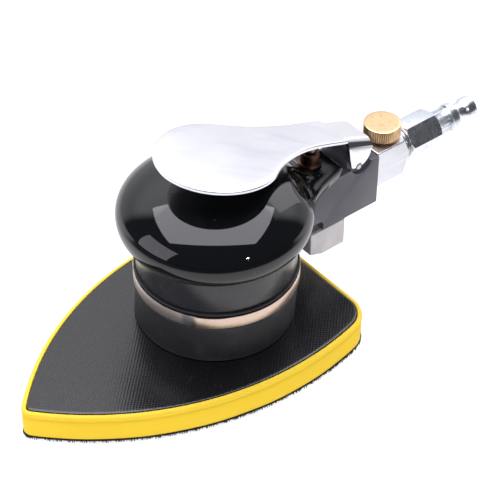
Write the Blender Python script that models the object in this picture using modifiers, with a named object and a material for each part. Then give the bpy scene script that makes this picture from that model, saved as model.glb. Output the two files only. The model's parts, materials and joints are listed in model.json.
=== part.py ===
"""Air-driven detail mouse sander with an iron-shaped orbital pad.

Lengths are in millimetres and become metres as each mesh is made. The origin is on the motor's
axis at the face of the hook layer. X runs back along the handle, and Z runs up the motor's axis.
"""

import math

import bmesh
import bpy
from mathutils import Matrix

MM = 0.001
MERGE = 0.00001  # metres, welds the seam of a turned piece
GAP = 0.3  # clearance between pieces that touch
OVERSHOOT = 2.0  # how far a cutter stands out of what it cuts

# Pad
THROW = 1.25  # crank throw: half the orbit's diameter
PAD_CENTRE_Y = 0.4  # the outline's centre line, which the hub's axis stands off a little
SIDE_RADIUS = 122.7
SIDE_CENTRE_X = 6.1
SIDE_CENTRE_Y = 79.6
TIP_RADIUS = 2.0
HEEL_X = 42.7
HEEL_RADIUS = 11.0
HOOK_TOP = 1.5
FOAM_TOP = 12.9
FOAM_BORDER = 2.1  # foam beyond the plate all round
PLATE_BOTTOM = 10.3
PLATE_TOP = 13.1
HUB_FLANGE_TOP = 17.7
HUB_SCREW_CIRCLE = 18.0
SCREW_HOLE = 1.6

# Motor
BORE_RADIUS = 22.3
MOTOR_RADIUS = 22.0
BODY_RADIUS = 30.4
NECK_RADIUS = 28.3
BODY_BOTTOM = 29.3
SHOULDER_Z = 38.5
BODY_TOP = 74.3
LINER_BOTTOM = 38.1
LINER_TOP = 62.1
LINER_BORE = 18.5
LINER_OFFSET = 2.0
END_PLATE = 4.0
ROTOR_RADIUS = 16.2
VANE_COUNT = 5
VANE_THICKNESS = 1.4
VANE_SLOT = 2.0
KEY_Z = (44.0, 56.0)
DOWEL = (19.2, 0.0, 0.0)
BEARING_OUTER = 11.0
BEARING_BORE = 4.0
BEARING_WIDTH = 6.8
UPPER_BEARING_Z = 63.7
LOWER_BEARING_Z = 29.7
PAD_BEARING_Z = 17.0
SHAFT_RADIUS = 3.7
SHAFT_TOP = 72.2

# Boot and its strap
BOOT_RADIUS = 30.8
BOOT_INNER = 28.6
BOOT_TOP = 38.2
BOOT_FOOT_TOP = 15.4
STRAP_BOTTOM = 31.7
STRAP_TOP = 36.8
STRAP_RADIUS = 31.6

# Palm grip
GRIP_X = -0.6  # the dome's centre, a little ahead of the motor's axis
GRIP_RADIUS = 36.6
GRIP_WIDEST_Z = 61.5
GRIP_TOP = 77.0
GRIP_BOTTOM = 54.2
GRIP_LIP_RADIUS = 31.8
GRIP_POWER = 2.2
TAIL_TOP = 61.0
TAIL_END_X = 54.5
TAIL_FILLET = 30.0

# Handle block and air passages
HANDLE_HALF_WIDTH = 9.0
HANDLE_BOTTOM = 34.2
HANDLE_TOP = 56.4
HANDLE_END_X = 72.8
HANDLE_STEP_X = 45.2  # the underside is higher ahead of this, to clear the strap
LUG_HALF_WIDTH = 7.4
LUG_TOP = 60.5
SCALLOP_RADIUS = 5.4
SCALLOP_CENTRE = (63.7, 0.0, 58.3)
AXIS_Z = 48.6
INLET_X = 73.1
INLET_HALF = 8.1
INLET_END_X = 90.3
REGULATOR_X = 82.06
KNOB_RADIUS = 7.42
KNOB_TOP = 63.5
HEX_X = (92.2, 108.7)
HEX_CORNER = 8.37
HEX_SPIN = -10.0
PLUG_END_X = 131.0
EXHAUST_Y = 6.6
EXHAUST_X = 52.0
EXHAUST_Z = 41.0
FEED_Z = 53.5
GRIP_SCREW = (19.0, 0.0, 0.0)

# Throttle
PIN_X = 61.7
PIN_Z = 57.2
PIN_RADIUS = 1.2
VALVE_X = 45.0
VALVE_SEAT_Z = 46.8
LEVER_THICKNESS = 1.6
PADDLE_RADIUS = 22.8
PADDLE_X = 0.2
LEVER_WAIST = 8.4
LEVER_FILLET_X = 44.0
LEVER_FILLET = 51.0
PADDLE_FRONT_X = PADDLE_X - PADDLE_RADIUS
LEVER_REAR_X = 68.5
LEVER_FRONT_Z = 89.4
LEVER_SLOPE = 0.1647
LEVER_ROLL = 0.001724
EAR_FRONT_X = 56.3
EAR_OUTER_Y = 9.5
EAR_POCKET_Y = 7.6

# Muffler
MUFFLER_X = (39.0, 56.4)
MUFFLER_Z = (21.9, 33.9)
MUFFLER_SCREW = (52.0, 0.0, 0.0)


# Collections, materials and nodes ----------------------------------------------------------------

for old in list(bpy.data.objects):
    bpy.data.objects.remove(old, do_unlink=True)

PARTS = bpy.data.collections.new("detail_mouse_sander")
CUTTERS = bpy.data.collections.new("cutters")
bpy.context.scene.collection.children.link(PARTS)
bpy.context.scene.collection.children.link(CUTTERS)

FINISHES = {
    "black_casting": ((0.12, 0.12, 0.13), 0.45, 0.0),
    "gloss_black": ((0.012, 0.013, 0.016), 0.08, 0.0),
    "rubber": ((0.03, 0.03, 0.032), 0.7, 0.0),
    "steel": ((0.62, 0.61, 0.6), 0.3, 1.0),
    "polished_steel": ((0.8, 0.8, 0.82), 0.15, 1.0),
    "aluminium": ((0.72, 0.72, 0.74), 0.35, 1.0),
    "brass": ((0.78, 0.56, 0.26), 0.35, 1.0),
    "fibre_board": ((0.02, 0.02, 0.024), 0.5, 0.0),
    "yellow_foam": ((0.95, 0.68, 0.03), 0.85, 0.0),
    "hook_fabric": ((0.02, 0.02, 0.02), 0.95, 0.0),
    "vane_composite": ((0.25, 0.13, 0.06), 0.6, 0.0),
    "silencer_felt": ((0.55, 0.53, 0.5), 0.95, 0.0),
    "grey_plastic": ((0.42, 0.4, 0.42), 0.5, 0.0),
}


def material(finish):
    found = bpy.data.materials.get(finish)
    if found:
        return found
    colour, roughness, metallic = FINISHES[finish]
    made = bpy.data.materials.new(finish)
    made.use_nodes = True
    shader = made.node_tree.nodes["Principled BSDF"]
    shader.inputs["Base Color"].default_value = (*colour, 1.0)
    shader.inputs["Roughness"].default_value = roughness
    shader.inputs["Metallic"].default_value = metallic
    return made


def placed(name, mesh, collection=PARTS):
    made = bpy.data.objects.new(name, mesh)
    collection.objects.link(made)
    return made


def finished(made, finish, smooth_angle=35):
    made.data.materials.clear()
    made.data.materials.append(material(finish))
    made.data.shade_smooth()
    made.data.set_sharp_from_angle(angle=math.radians(smooth_angle))
    return made


def as_cutter(made):
    for collection in list(made.users_collection):
        collection.objects.unlink(made)
    CUTTERS.objects.link(made)
    made.hide_render = True
    made.display_type = "WIRE"
    return made


def boolean(target, operation, *tools):
    for tool in tools:
        modifier = target.modifiers.new(operation.title(), "BOOLEAN")
        modifier.operation = operation
        modifier.solver = "EXACT"
        modifier.object = as_cutter(tool)
    return target


def cut(target, *tools):
    return boolean(target, "DIFFERENCE", *tools)


def joined(target, *tools):
    return boolean(target, "UNION", *tools)


def bevelled(made, width, segments=2, angle=40):
    modifier = made.modifiers.new("Bevel", "BEVEL")
    modifier.width = width * MM
    modifier.segments = segments
    modifier.limit_method = "ANGLE"
    modifier.angle_limit = math.radians(angle)
    return made


# Shapes ------------------------------------------------------------------------------------------


def arc(centre, radius, start, end, steps):
    """Points on a circle from one angle to another, in degrees, both ends included."""
    turns = [math.radians(start + (end - start) * i / steps) for i in range(steps + 1)]
    return [
        (centre[0] + radius * math.cos(t), centre[1] + radius * math.sin(t))
        for t in turns
    ]


def box(name, x, y, z):
    mesh = bpy.data.meshes.new(name)
    bm = bmesh.new()
    size = Matrix.Diagonal((x[1] - x[0], y[1] - y[0], z[1] - z[0], 1.0))
    centre = [(low + high) / 2 for low, high in (x, y, z)]
    bmesh.ops.create_cube(bm, size=1.0, matrix=Matrix.Translation(centre) @ size)
    bmesh.ops.scale(bm, vec=(MM, MM, MM), verts=bm.verts)
    bm.to_mesh(mesh)
    bm.free()
    return placed(name, mesh)


def aimed(made, axis):
    """Turns a piece made along Z so that it runs along X or Y."""
    if axis == "X":
        made.rotation_euler = (0.0, math.radians(90), 0.0)
    if axis == "Y":
        made.rotation_euler = (math.radians(-90), 0.0, 0.0)
    return made


def rod(name, radius, low, high, axis="Z", at=(0.0, 0.0, 0.0), sides=20, spin=0.0):
    """A cylinder from low to high along its axis, through the point at."""
    mesh = bpy.data.meshes.new(name)
    bm = bmesh.new()
    bmesh.ops.create_cone(
        bm,
        cap_ends=True,
        segments=sides,
        radius1=radius * MM,
        radius2=radius * MM,
        depth=(high - low) * MM,
        matrix=Matrix.Translation((0.0, 0.0, (low + high) / 2 * MM))
        @ Matrix.Rotation(math.radians(spin), 4, "Z"),
    )
    bm.to_mesh(mesh)
    bm.free()
    made = aimed(placed(name, mesh), axis)
    made.location = [value * MM for value in at]
    return made


def turned(name, profile, closed=False, steps=24, axis="Z", at=(0.0, 0.0, 0.0)):
    """A profile of (radius, height) points, outer side first and downwards, turned full circle."""
    mesh = bpy.data.meshes.new(name)
    count = len(profile)
    edges = [(i, i + 1) for i in range(count - 1)]
    if closed:
        edges.append((count - 1, 0))
    mesh.from_pydata([(r * MM, 0.0, h * MM) for r, h in profile], edges, [])
    made = aimed(placed(name, mesh), axis)
    made.location = [value * MM for value in at]
    screw = made.modifiers.new("Screw", "SCREW")
    screw.angle = math.tau
    screw.steps = steps
    screw.render_steps = steps
    screw.use_merge_vertices = True
    screw.merge_threshold = MERGE
    return made


def ring(name, inner, outer, low, high, steps=24, axis="Z", at=(0.0, 0.0, 0.0)):
    profile = [(outer, high), (outer, low), (inner, low), (inner, high)]
    return turned(name, profile, True, steps, axis, at)


def meshed(source):
    """A curve or a modified mesh as a plain mesh object of the same name, with its seams welded."""
    bpy.context.view_layer.update()
    evaluated = source.evaluated_get(bpy.context.evaluated_depsgraph_get())
    mesh = bpy.data.meshes.new_from_object(evaluated)
    bm = bmesh.new()
    bm.from_mesh(mesh)
    bmesh.ops.remove_doubles(bm, verts=bm.verts, dist=MERGE)
    bmesh.ops.recalc_face_normals(bm, faces=bm.faces)
    bm.to_mesh(mesh)
    bm.free()
    name, place = source.name, source.matrix_world.copy()
    bpy.data.objects.remove(source, do_unlink=True)
    made = placed(name, mesh)
    made.matrix_world = place
    return made


def prism(name, outline, low, high, upright=False):
    """A flat outline given thickness along Z, or, upright, an X-Z outline with thickness along Y."""
    curve = bpy.data.curves.new(name, "CURVE")
    curve.dimensions = "2D"
    curve.fill_mode = "BOTH"
    curve.extrude = (high - low) / 2 * MM
    spline = curve.splines.new("POLY")
    spline.points.add(len(outline) - 1)
    for point, (u, v) in zip(spline.points, outline):
        point.co = (u * MM, v * MM, 0.0, 1.0)
    spline.use_cyclic_u = True
    made = placed(name, curve)
    middle = (low + high) / 2 * MM
    if upright:
        made.rotation_euler = (math.radians(90), 0.0, 0.0)
        made.location = (0.0, middle, 0.0)
    else:
        made.location = (0.0, 0.0, middle)
    return meshed(made)


def helix(name, radius, wire, low, high, turns, at):
    """A coil of round wire about a vertical axis."""
    curve = bpy.data.curves.new(name, "CURVE")
    curve.dimensions = "3D"
    curve.bevel_depth = wire * MM
    curve.bevel_resolution = 2
    curve.use_fill_caps = True
    spline = curve.splines.new("POLY")
    count = turns * 8
    spline.points.add(count)
    for i, point in enumerate(spline.points):
        turn = math.tau * turns * i / count
        height = low + (high - low) * i / count
        x = at[0] + radius * math.cos(turn)
        y = at[1] + radius * math.sin(turn)
        point.co = (x * MM, y * MM, height * MM, 1.0)
    return meshed(placed(name, curve))


def mirrored_outline(half):
    """An outline whose second half repeats the first, the other way round, across the X axis."""
    return half + [(x, -y) for x, y in reversed(half) if abs(y) > 1e-6]


# Pad ---------------------------------------------------------------------------------------------


def pad_outline(grow):
    """The iron-shaped outline, grown outwards: two long side arcs, a tight tip and a square heel."""
    side = SIDE_RADIUS + grow
    tip = TIP_RADIUS + grow
    heel = HEEL_RADIUS + grow
    tip_x = SIDE_CENTRE_X - math.sqrt((side - tip) ** 2 - SIDE_CENTRE_Y**2)
    tip_turn = math.degrees(math.atan2(SIDE_CENTRE_Y, tip_x - SIDE_CENTRE_X))
    heel_x = HEEL_X + grow - heel
    heel_y = math.sqrt((side - heel) ** 2 - (heel_x - SIDE_CENTRE_X) ** 2) - SIDE_CENTRE_Y
    heel_turn = math.degrees(math.atan2(heel_y + SIDE_CENTRE_Y, heel_x - SIDE_CENTRE_X))
    half = arc((tip_x, 0.0), tip, 180, tip_turn, 3)
    half += arc((SIDE_CENTRE_X, -SIDE_CENTRE_Y), side, tip_turn, heel_turn, 11)[1:]
    half += arc((heel_x, heel_y), heel, heel_turn, 0, 5)[1:]
    return [(x, y + PAD_CENTRE_Y) for x, y in mirrored_outline(half)]


def make_pad_foam():
    """Foam that holds the plate in a shallow tray; its upper edge is eased."""
    levels = (
        (FOAM_BORDER, HOOK_TOP + GAP),
        (FOAM_BORDER, FOAM_TOP - 0.8),
        (FOAM_BORDER - 0.6, FOAM_TOP),
    )
    bm = bmesh.new()
    rings = [
        [bm.verts.new((x * MM, y * MM, z * MM)) for x, y in pad_outline(grow)]
        for grow, z in levels
    ]
    for lower, upper in zip(rings, rings[1:]):
        for i, corner in enumerate(lower):
            j = (i + 1) % len(lower)
            bm.faces.new((corner, lower[j], upper[j], upper[i]))
    bm.faces.new(rings[0])
    bm.faces.new(rings[-1])
    bmesh.ops.recalc_face_normals(bm, faces=bm.faces)
    mesh = bpy.data.meshes.new("pad_foam")
    bm.to_mesh(mesh)
    bm.free()
    tray = prism("foam_tray", pad_outline(GAP), PLATE_BOTTOM - GAP, FOAM_TOP + OVERSHOOT)
    return [finished(cut(placed("pad_foam", mesh), tray), "yellow_foam")]


def make_hook_facing():
    return [finished(prism("hook_facing", pad_outline(FOAM_BORDER - 0.3), 0.0, HOOK_TOP), "hook_fabric")]


def hub_screw_places():
    turns = [math.radians(45 + 90 * i) for i in range(4)]
    return [
        (HUB_SCREW_CIRCLE * math.cos(t), THROW + HUB_SCREW_CIRCLE * math.sin(t)) for t in turns
    ]


def hub_screw_holes(owner, low, high):
    return [
        rod(f"{owner}_hole_{i}", SCREW_HOLE, low, high, at=(x, y, 0.0), sides=12)
        for i, (x, y) in enumerate(hub_screw_places())
    ]


def make_pad_plate():
    plate = prism("pad_plate", pad_outline(0.0), PLATE_BOTTOM, PLATE_TOP)
    holes = hub_screw_holes("plate", PLATE_BOTTOM - OVERSHOOT, PLATE_TOP + OVERSHOOT)
    return [finished(cut(plate, *holes), "fibre_board")]


def make_pad_hub():
    """Bearing carrier on the plate; its flange clamps the boot's foot."""
    base = PLATE_TOP + GAP
    seat = PAD_BEARING_Z - GAP
    profile = [
        (0.0, base + 0.9),
        (7.5, base + 0.9),
        (7.5, seat),
        (BEARING_OUTER + GAP, seat),
        (BEARING_OUTER + GAP, 25.2),
        (13.6, 25.2),
        (13.6, HUB_FLANGE_TOP),
        (27.6, HUB_FLANGE_TOP),
        (27.6, BOOT_FOOT_TOP + GAP),
        (21.7, BOOT_FOOT_TOP + GAP),
        (21.7, base),
        (0.0, base),
    ]
    hub = turned("pad_hub", profile, at=(0.0, THROW, 0.0))
    holes = hub_screw_holes("hub", base - OVERSHOOT, HUB_FLANGE_TOP + OVERSHOOT)
    return [finished(cut(hub, *holes), "aluminium")]


def screw_profile(top, head_bottom, end, head=2.5, shank=1.3):
    return [
        (0.0, top),
        (head - 0.5, top),
        (head, top - 0.5),
        (head, head_bottom),
        (shank, head_bottom),
        (shank, end),
        (0.0, end),
    ]


def make_hub_screws():
    profile = screw_profile(HUB_FLANGE_TOP + 1.9, HUB_FLANGE_TOP + GAP, PLATE_BOTTOM + 0.3)
    return [
        finished(turned(f"hub_screw_{i + 1}", profile, steps=12, at=(x, y, 0.0)), "steel")
        for i, (x, y) in enumerate(hub_screw_places())
    ]


# Bearings ----------------------------------------------------------------------------------------


def make_bearing_outer(name, low, y=0.0):
    race = ring(name, 9.4, BEARING_OUTER, low, low + BEARING_WIDTH, at=(0.0, y, 0.0))
    return finished(race, "steel")


def make_bearing_inner(name, low, y=0.0):
    race = ring(name, BEARING_BORE, 5.9, low, low + BEARING_WIDTH, 24, at=(0.0, y, 0.0))
    return finished(race, "steel")


def make_bearing_balls(name, low, y=0.0):
    """Seven balls held by their cage, as one piece."""
    pitch, middle = 7.65, low + BEARING_WIDTH / 2
    mesh = bpy.data.meshes.new(name + "_set")
    bm = bmesh.new()
    for i in range(7):
        turn = math.tau * i / 7
        place = (pitch * math.cos(turn), pitch * math.sin(turn), middle)
        bmesh.ops.create_uvsphere(
            bm, u_segments=6, v_segments=4, radius=1.45, matrix=Matrix.Translation(place)
        )
    bmesh.ops.scale(bm, vec=(MM, MM, MM), verts=bm.verts)
    bm.to_mesh(mesh)
    bm.free()
    balls = placed(name + "_set", mesh)
    balls.location = (0.0, y * MM, 0.0)
    cage = ring(name, 7.1, 8.2, middle - 0.9, middle + 0.9, 14, at=(0.0, y, 0.0))
    return finished(joined(cage, balls), "steel")


# Motor -------------------------------------------------------------------------------------------


def exhaust_runs(owner):
    """The two exhaust passages from the motor to the muffler."""
    runs = []
    for side in (-1, 1):
        y = side * EXHAUST_Y
        along = rod(
            f"{owner}_exhaust_{side}", 1.6, 10.0, EXHAUST_X + 1.4, "X", (0.0, y, EXHAUST_Z), 12
        )
        down = rod(
            f"{owner}_exhaust_drop_{side}",
            1.5,
            HANDLE_BOTTOM - OVERSHOOT,
            EXHAUST_Z,
            at=(EXHAUST_X, y, 0.0),
            sides=12,
        )
        runs += [along, down]
    return runs


def feed_port(owner):
    return rod(f"{owner}_feed", 2.4, 12.0, VALVE_X, "X", (0.0, 0.0, FEED_Z), 12)


def make_motor_housing():
    body = turned(
        "motor_housing",
        [
            (0.0, BODY_TOP),
            (15.0, BODY_TOP),
            (27.0, 68.3),
            (BODY_RADIUS, 61.0),
            (BODY_RADIUS, SHOULDER_Z),
            (NECK_RADIUS, SHOULDER_Z),
            (NECK_RADIUS, BODY_BOTTOM),
            (0.0, BODY_BOTTOM),
        ],
        steps=36,
    )
    side = [
        (15.0, SHOULDER_Z + 0.1),
        *reversed(arc((HANDLE_STEP_X - 2.0, SHOULDER_Z - 1.9), 2.0, 0, 90, 3)),
        (HANDLE_STEP_X, HANDLE_BOTTOM),
        (HANDLE_END_X, HANDLE_BOTTOM),
        (HANDLE_END_X, HANDLE_TOP),
        (15.0, HANDLE_TOP),
    ]
    handle = prism("handle_block", side, -HANDLE_HALF_WIDTH, HANDLE_HALF_WIDTH, upright=True)
    lug_sides = (-LUG_HALF_WIDTH, LUG_HALF_WIDTH)
    lug = bevelled(box("pivot_lug", (57.5, 69.0), lug_sides, (50.0, LUG_TOP)), 1.0, 1)
    joined(body, bevelled(handle, 0.5, 1), lug)
    bore = turned(
        "motor_bore",
        [
            (0.0, 72.6),
            (13.6, 72.6),
            (13.6, 66.7),
            (BORE_RADIUS, 66.7),
            (BORE_RADIUS, BODY_BOTTOM - OVERSHOOT),
            (0.0, BODY_BOTTOM - OVERSHOOT),
        ],
        steps=28,
    )
    cut(
        body,
        bore,
        rod("spigot_bore", 5.5, 62.2, 76.0, "X", (0.0, 0.0, AXIS_Z)),
        rod("inlet_bore", 3.8, VALVE_X, 63.0, "X", (0.0, 0.0, AXIS_Z), 16),
        rod("valve_chamber", 4.2, 37.0, 60.0, at=(VALVE_X, 0.0, 0.0)),
        feed_port("housing"),
        *exhaust_runs("housing"),
        rod("pin_hole", PIN_RADIUS + GAP, -12.0, 12.0, "Y", (PIN_X, 0.0, PIN_Z), 12),
        rod("scallop_near", SCALLOP_RADIUS, -12.0, -EAR_POCKET_Y, "Y", SCALLOP_CENTRE, 24),
        rod("scallop_far", SCALLOP_RADIUS, EAR_POCKET_Y, 12.0, "Y", SCALLOP_CENTRE, 24),
        rod("muffler_screw_hole", SCREW_HOLE, 32.0, 40.0, at=MUFFLER_SCREW, sides=12),
        rod("grip_screw_hole", SCREW_HOLE, 67.7, 80.0, at=GRIP_SCREW, sides=12),
    )
    return [finished(body, "black_casting")]


def make_cylinder_liner():
    liner = rod("cylinder_liner", MOTOR_RADIUS, LINER_BOTTOM, LINER_TOP, sides=28)
    ends = (LINER_BOTTOM - OVERSHOOT, LINER_TOP + OVERSHOOT)
    cut(
        liner,
        rod("liner_bore", LINER_BORE, *ends, at=(-LINER_OFFSET, 0.0, 0.0), sides=28),
        rod("liner_dowel_hole", 1.3, LINER_TOP - 2.2, LINER_TOP + OVERSHOOT, at=DOWEL, sides=12),
        feed_port("liner"),
        *exhaust_runs("liner"),
    )
    return [finished(liner, "steel")]


def make_end_plates():
    """Two discs, each with a boss that seats a bearing on its outer side."""
    boss, seat, hole = BEARING_OUTER + 2.2, BEARING_OUTER + GAP, 5.0
    low = LINER_TOP + GAP
    high = low + END_PLATE
    upper = turned(
        "upper_end_plate",
        [
            (boss, UPPER_BEARING_Z + 7.2),
            (boss, high),
            (MOTOR_RADIUS, high),
            (MOTOR_RADIUS, low),
            (hole, low),
            (hole, UPPER_BEARING_Z - GAP),
            (seat, UPPER_BEARING_Z - GAP),
            (seat, UPPER_BEARING_Z + 7.2),
        ],
        True,
    )
    cut(upper, rod("plate_dowel_hole", 1.3, low - OVERSHOOT, low + 2.2, at=DOWEL, sides=12))
    high = LINER_BOTTOM - GAP
    low = high - END_PLATE
    bearing_top = LOWER_BEARING_Z + BEARING_WIDTH + GAP
    lower = turned(
        "lower_end_plate",
        [
            (MOTOR_RADIUS, high),
            (MOTOR_RADIUS, low),
            (boss, low),
            (boss, LOWER_BEARING_Z - 0.2),
            (seat, LOWER_BEARING_Z - 0.2),
            (seat, bearing_top),
            (hole, bearing_top),
            (hole, high),
        ],
        True,
    )
    return [finished(upper, "aluminium"), finished(lower, "aluminium")]


def make_motor_fixings():
    lock_ring = ring("lock_ring", 13.6, MOTOR_RADIUS, 29.6, 33.5)
    dowel = rod("locating_pin", 1.0, LINER_TOP - 1.9, LINER_TOP + 2.2, at=DOWEL, sides=12)
    return [finished(lock_ring, "aluminium"), finished(dowel, "steel")]


def make_crank_shaft():
    """Shaft, crank disc, half-round balance weight and the crank pin, which stands off by THROW."""
    shaft = turned(
        "crank_shaft",
        [
            (0.0, SHAFT_TOP),
            (SHAFT_RADIUS, SHAFT_TOP),
            (SHAFT_RADIUS, 71.7),
            (SHAFT_RADIUS - 0.5, 71.7),
            (SHAFT_RADIUS - 0.5, 70.9),
            (SHAFT_RADIUS, 70.9),
            (SHAFT_RADIUS, LOWER_BEARING_Z - GAP),
            (5.6, LOWER_BEARING_Z - GAP),
            (5.6, 28.9),
            (10.0, 28.9),
            (10.0, 26.0),
            (0.0, 26.0),
        ],
        steps=24,
    )
    weight = prism("balance_weight", arc((0.0, 0.0), 20.0, 180, 360, 16), 26.1, 28.8)
    pin_at = (0.0, THROW, 0.0)
    joined(
        shaft,
        weight,
        rod("crank_pin", SHAFT_RADIUS, PAD_BEARING_Z, 27.0, at=pin_at),
        rod("crank_pin_shoulder", 5.6, PAD_BEARING_Z + BEARING_WIDTH + GAP, 27.0, at=pin_at),
    )
    cut(
        shaft,
        box("shaft_keyway", (2.3, 5.0), (-1.3, 1.3), (KEY_Z[0] - GAP, KEY_Z[1] + GAP)),
        rod("crank_thread", 1.9, 15.0, 22.6, at=pin_at, sides=12),
    )
    return [finished(shaft, "steel")]


def make_rotor():
    low, high = LINER_BOTTOM + GAP, LINER_TOP - GAP
    ends = (low - OVERSHOOT, high + OVERSHOOT)
    rotor = rod("rotor", ROTOR_RADIUS, low, high, sides=30)
    slots = []
    for i in range(VANE_COUNT):
        slot = box(f"vane_slot_{i}", (7.4, 18.0), (-VANE_SLOT / 2, VANE_SLOT / 2), ends)
        slot.rotation_euler = (0.0, 0.0, vane_turn(i))
        slots.append(slot)
    cut(
        rotor,
        rod("rotor_bore", SHAFT_RADIUS + GAP, *ends),
        box("rotor_keyway", (2.0, 5.7), (-1.3, 1.3), ends),
        *slots,
    )
    key = box("rotor_key", (2.6, 5.4), (-1.0, 1.0), KEY_Z)
    return [finished(rotor, "steel"), finished(key, "steel")]


def vane_turn(index):
    return math.tau * (index + 0.5) / VANE_COUNT


def make_vanes():
    """Vanes, drawn fully into their slots."""
    made = []
    for i in range(VANE_COUNT):
        faces = (-VANE_THICKNESS / 2, VANE_THICKNESS / 2)
        ends = (LINER_BOTTOM + 2 * GAP, LINER_TOP - 2 * GAP)
        vane = box(f"vane_{i + 1}", (7.9, ROTOR_RADIUS - 0.2), faces, ends)
        vane.rotation_euler = (0.0, 0.0, vane_turn(i))
        made.append(finished(vane, "vane_composite"))
    return made


def make_crank_fixings():
    clip = ring("shaft_clip", 3.5, 5.4, 71.0, 71.6, 20)
    at = (0.0, THROW, 0.0)
    washer = ring("crank_washer", 2.0, 5.6, PAD_BEARING_Z - 1.1, PAD_BEARING_Z - GAP, 20, at=at)
    profile = [(0.0, 22.2), (1.6, 22.2), (1.6, 15.6), (3.4, 15.6), (3.4, 14.6), (0.0, 14.6)]
    screw = turned("crank_screw", profile, steps=16, at=at)
    return [finished(made, "steel") for made in (clip, washer, screw)]


def make_bearing_clip():
    top = PAD_BEARING_Z + BEARING_WIDTH
    clip = ring("bearing_clip", 9.6, 11.0, top + GAP, top + 1.1, at=(0.0, THROW, 0.0))
    return [finished(clip, "steel")]


# Boot, strap and grip ----------------------------------------------------------------------------


def make_rubber_boot():
    """A straight skirt whose foot is carried sideways by the crank throw."""
    foot = PLATE_TOP + GAP
    lip = BOOT_RADIUS + 0.4
    boot = turned(
        "rubber_boot",
        [
            (lip, BOOT_TOP),
            (lip, STRAP_TOP + GAP),
            (BOOT_RADIUS, STRAP_TOP + GAP),
            (BOOT_RADIUS, BODY_BOTTOM),
            (BOOT_RADIUS, foot),
            (22.0, foot),
            (22.0, BOOT_FOOT_TOP),
            (BOOT_INNER, BOOT_FOOT_TOP),
            (BOOT_INNER, BODY_BOTTOM),
            (BOOT_INNER, BOOT_TOP),
        ],
        True,
        36,
    )
    boot = meshed(boot)
    for vertex in boot.data.vertices:
        share = (BODY_BOTTOM * MM - vertex.co.z) / ((BODY_BOTTOM - BOOT_FOOT_TOP) * MM)
        vertex.co.y += THROW * MM * min(max(share, 0.0), 1.0)
    return [finished(boot, "rubber")]


def make_boot_clamp():
    strap = ring("boot_clamp", BOOT_RADIUS + GAP, STRAP_RADIUS, STRAP_BOTTOM, STRAP_TOP, 36)
    return [finished(strap, "steel")]


def grip_profile():
    """Dome above the widest ring, then a short undercut lip."""
    rise = GRIP_TOP - GRIP_WIDEST_Z
    power = 2.0 / GRIP_POWER
    points = []
    for i in range(9):
        turn = math.radians(90 - 90 * i / 9)
        r = GRIP_RADIUS * math.cos(turn) ** power if i else 0.0
        points.append((r, GRIP_WIDEST_Z + rise * math.sin(turn) ** power))
    drop = GRIP_WIDEST_Z - GRIP_BOTTOM
    inner = GRIP_LIP_RADIUS
    for i in range(5):
        turn = math.radians(90 * i / 4)
        r = inner + (GRIP_RADIUS - inner) * math.cos(turn)
        points.append((r, GRIP_WIDEST_Z - drop * math.sin(turn)))
    return points + [(0.0, GRIP_BOTTOM)]


def tail_outline():
    """Plan of the tail: hollow curves that leave the dome and close in on the handle's width."""
    waist = HANDLE_HALF_WIDTH + GAP
    centre_y = waist + TAIL_FILLET
    centre_x = math.sqrt((GRIP_RADIUS + TAIL_FILLET) ** 2 - centre_y**2)
    start = math.degrees(math.atan2(centre_y, centre_x)) + 180
    half = [(5.0, 0.0)]
    half += arc((GRIP_X + centre_x, centre_y), TAIL_FILLET, start, 270, 8)
    half += arc((TAIL_END_X - 1.5, waist - 1.5), 1.5, 90, 0, 3)
    return mirrored_outline(half + [(TAIL_END_X, 0.0)])


def make_palm_grip():
    grip = turned("palm_grip", grip_profile(), steps=40, at=(GRIP_X, 0.0, 0.0))
    tail = prism("grip_tail", tail_outline(), HANDLE_TOP + GAP, TAIL_TOP)
    joined(grip, bevelled(tail, 1.0, 2))
    inside = turned(
        "grip_hollow",
        [
            (0.0, BODY_TOP + GAP),
            (15.2, BODY_TOP + GAP),
            (27.3, 68.7),
            (BODY_RADIUS + GAP, 61.2),
            (BODY_RADIUS + GAP, GRIP_BOTTOM - OVERSHOOT),
            (0.0, GRIP_BOTTOM - OVERSHOOT),
        ],
        steps=32,
    )
    sides = (-HANDLE_HALF_WIDTH - GAP, HANDLE_HALF_WIDTH + GAP)
    cut(
        grip,
        inside,
        box("handle_clearance", (10.0, 60.0), sides, (50.0, HANDLE_TOP + GAP)),
        rod("bushing_clearance", 4.2, 50.0, 64.0, at=(VALVE_X, 0.0, 0.0)),
        rod("grip_screw_clearance", SCREW_HOLE, 66.0, 80.0, at=GRIP_SCREW, sides=12),
        rod("grip_screw_recess", 2.8, 73.4, 80.0, at=GRIP_SCREW, sides=16),
    )
    return [finished(grip, "gloss_black")]


def make_grip_screw():
    screw = turned("grip_screw", screw_profile(75.0, 73.7, 68.1), steps=12, at=GRIP_SCREW)
    return [finished(screw, "steel")]


# Inlet, regulator and plug -----------------------------------------------------------------------


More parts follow.
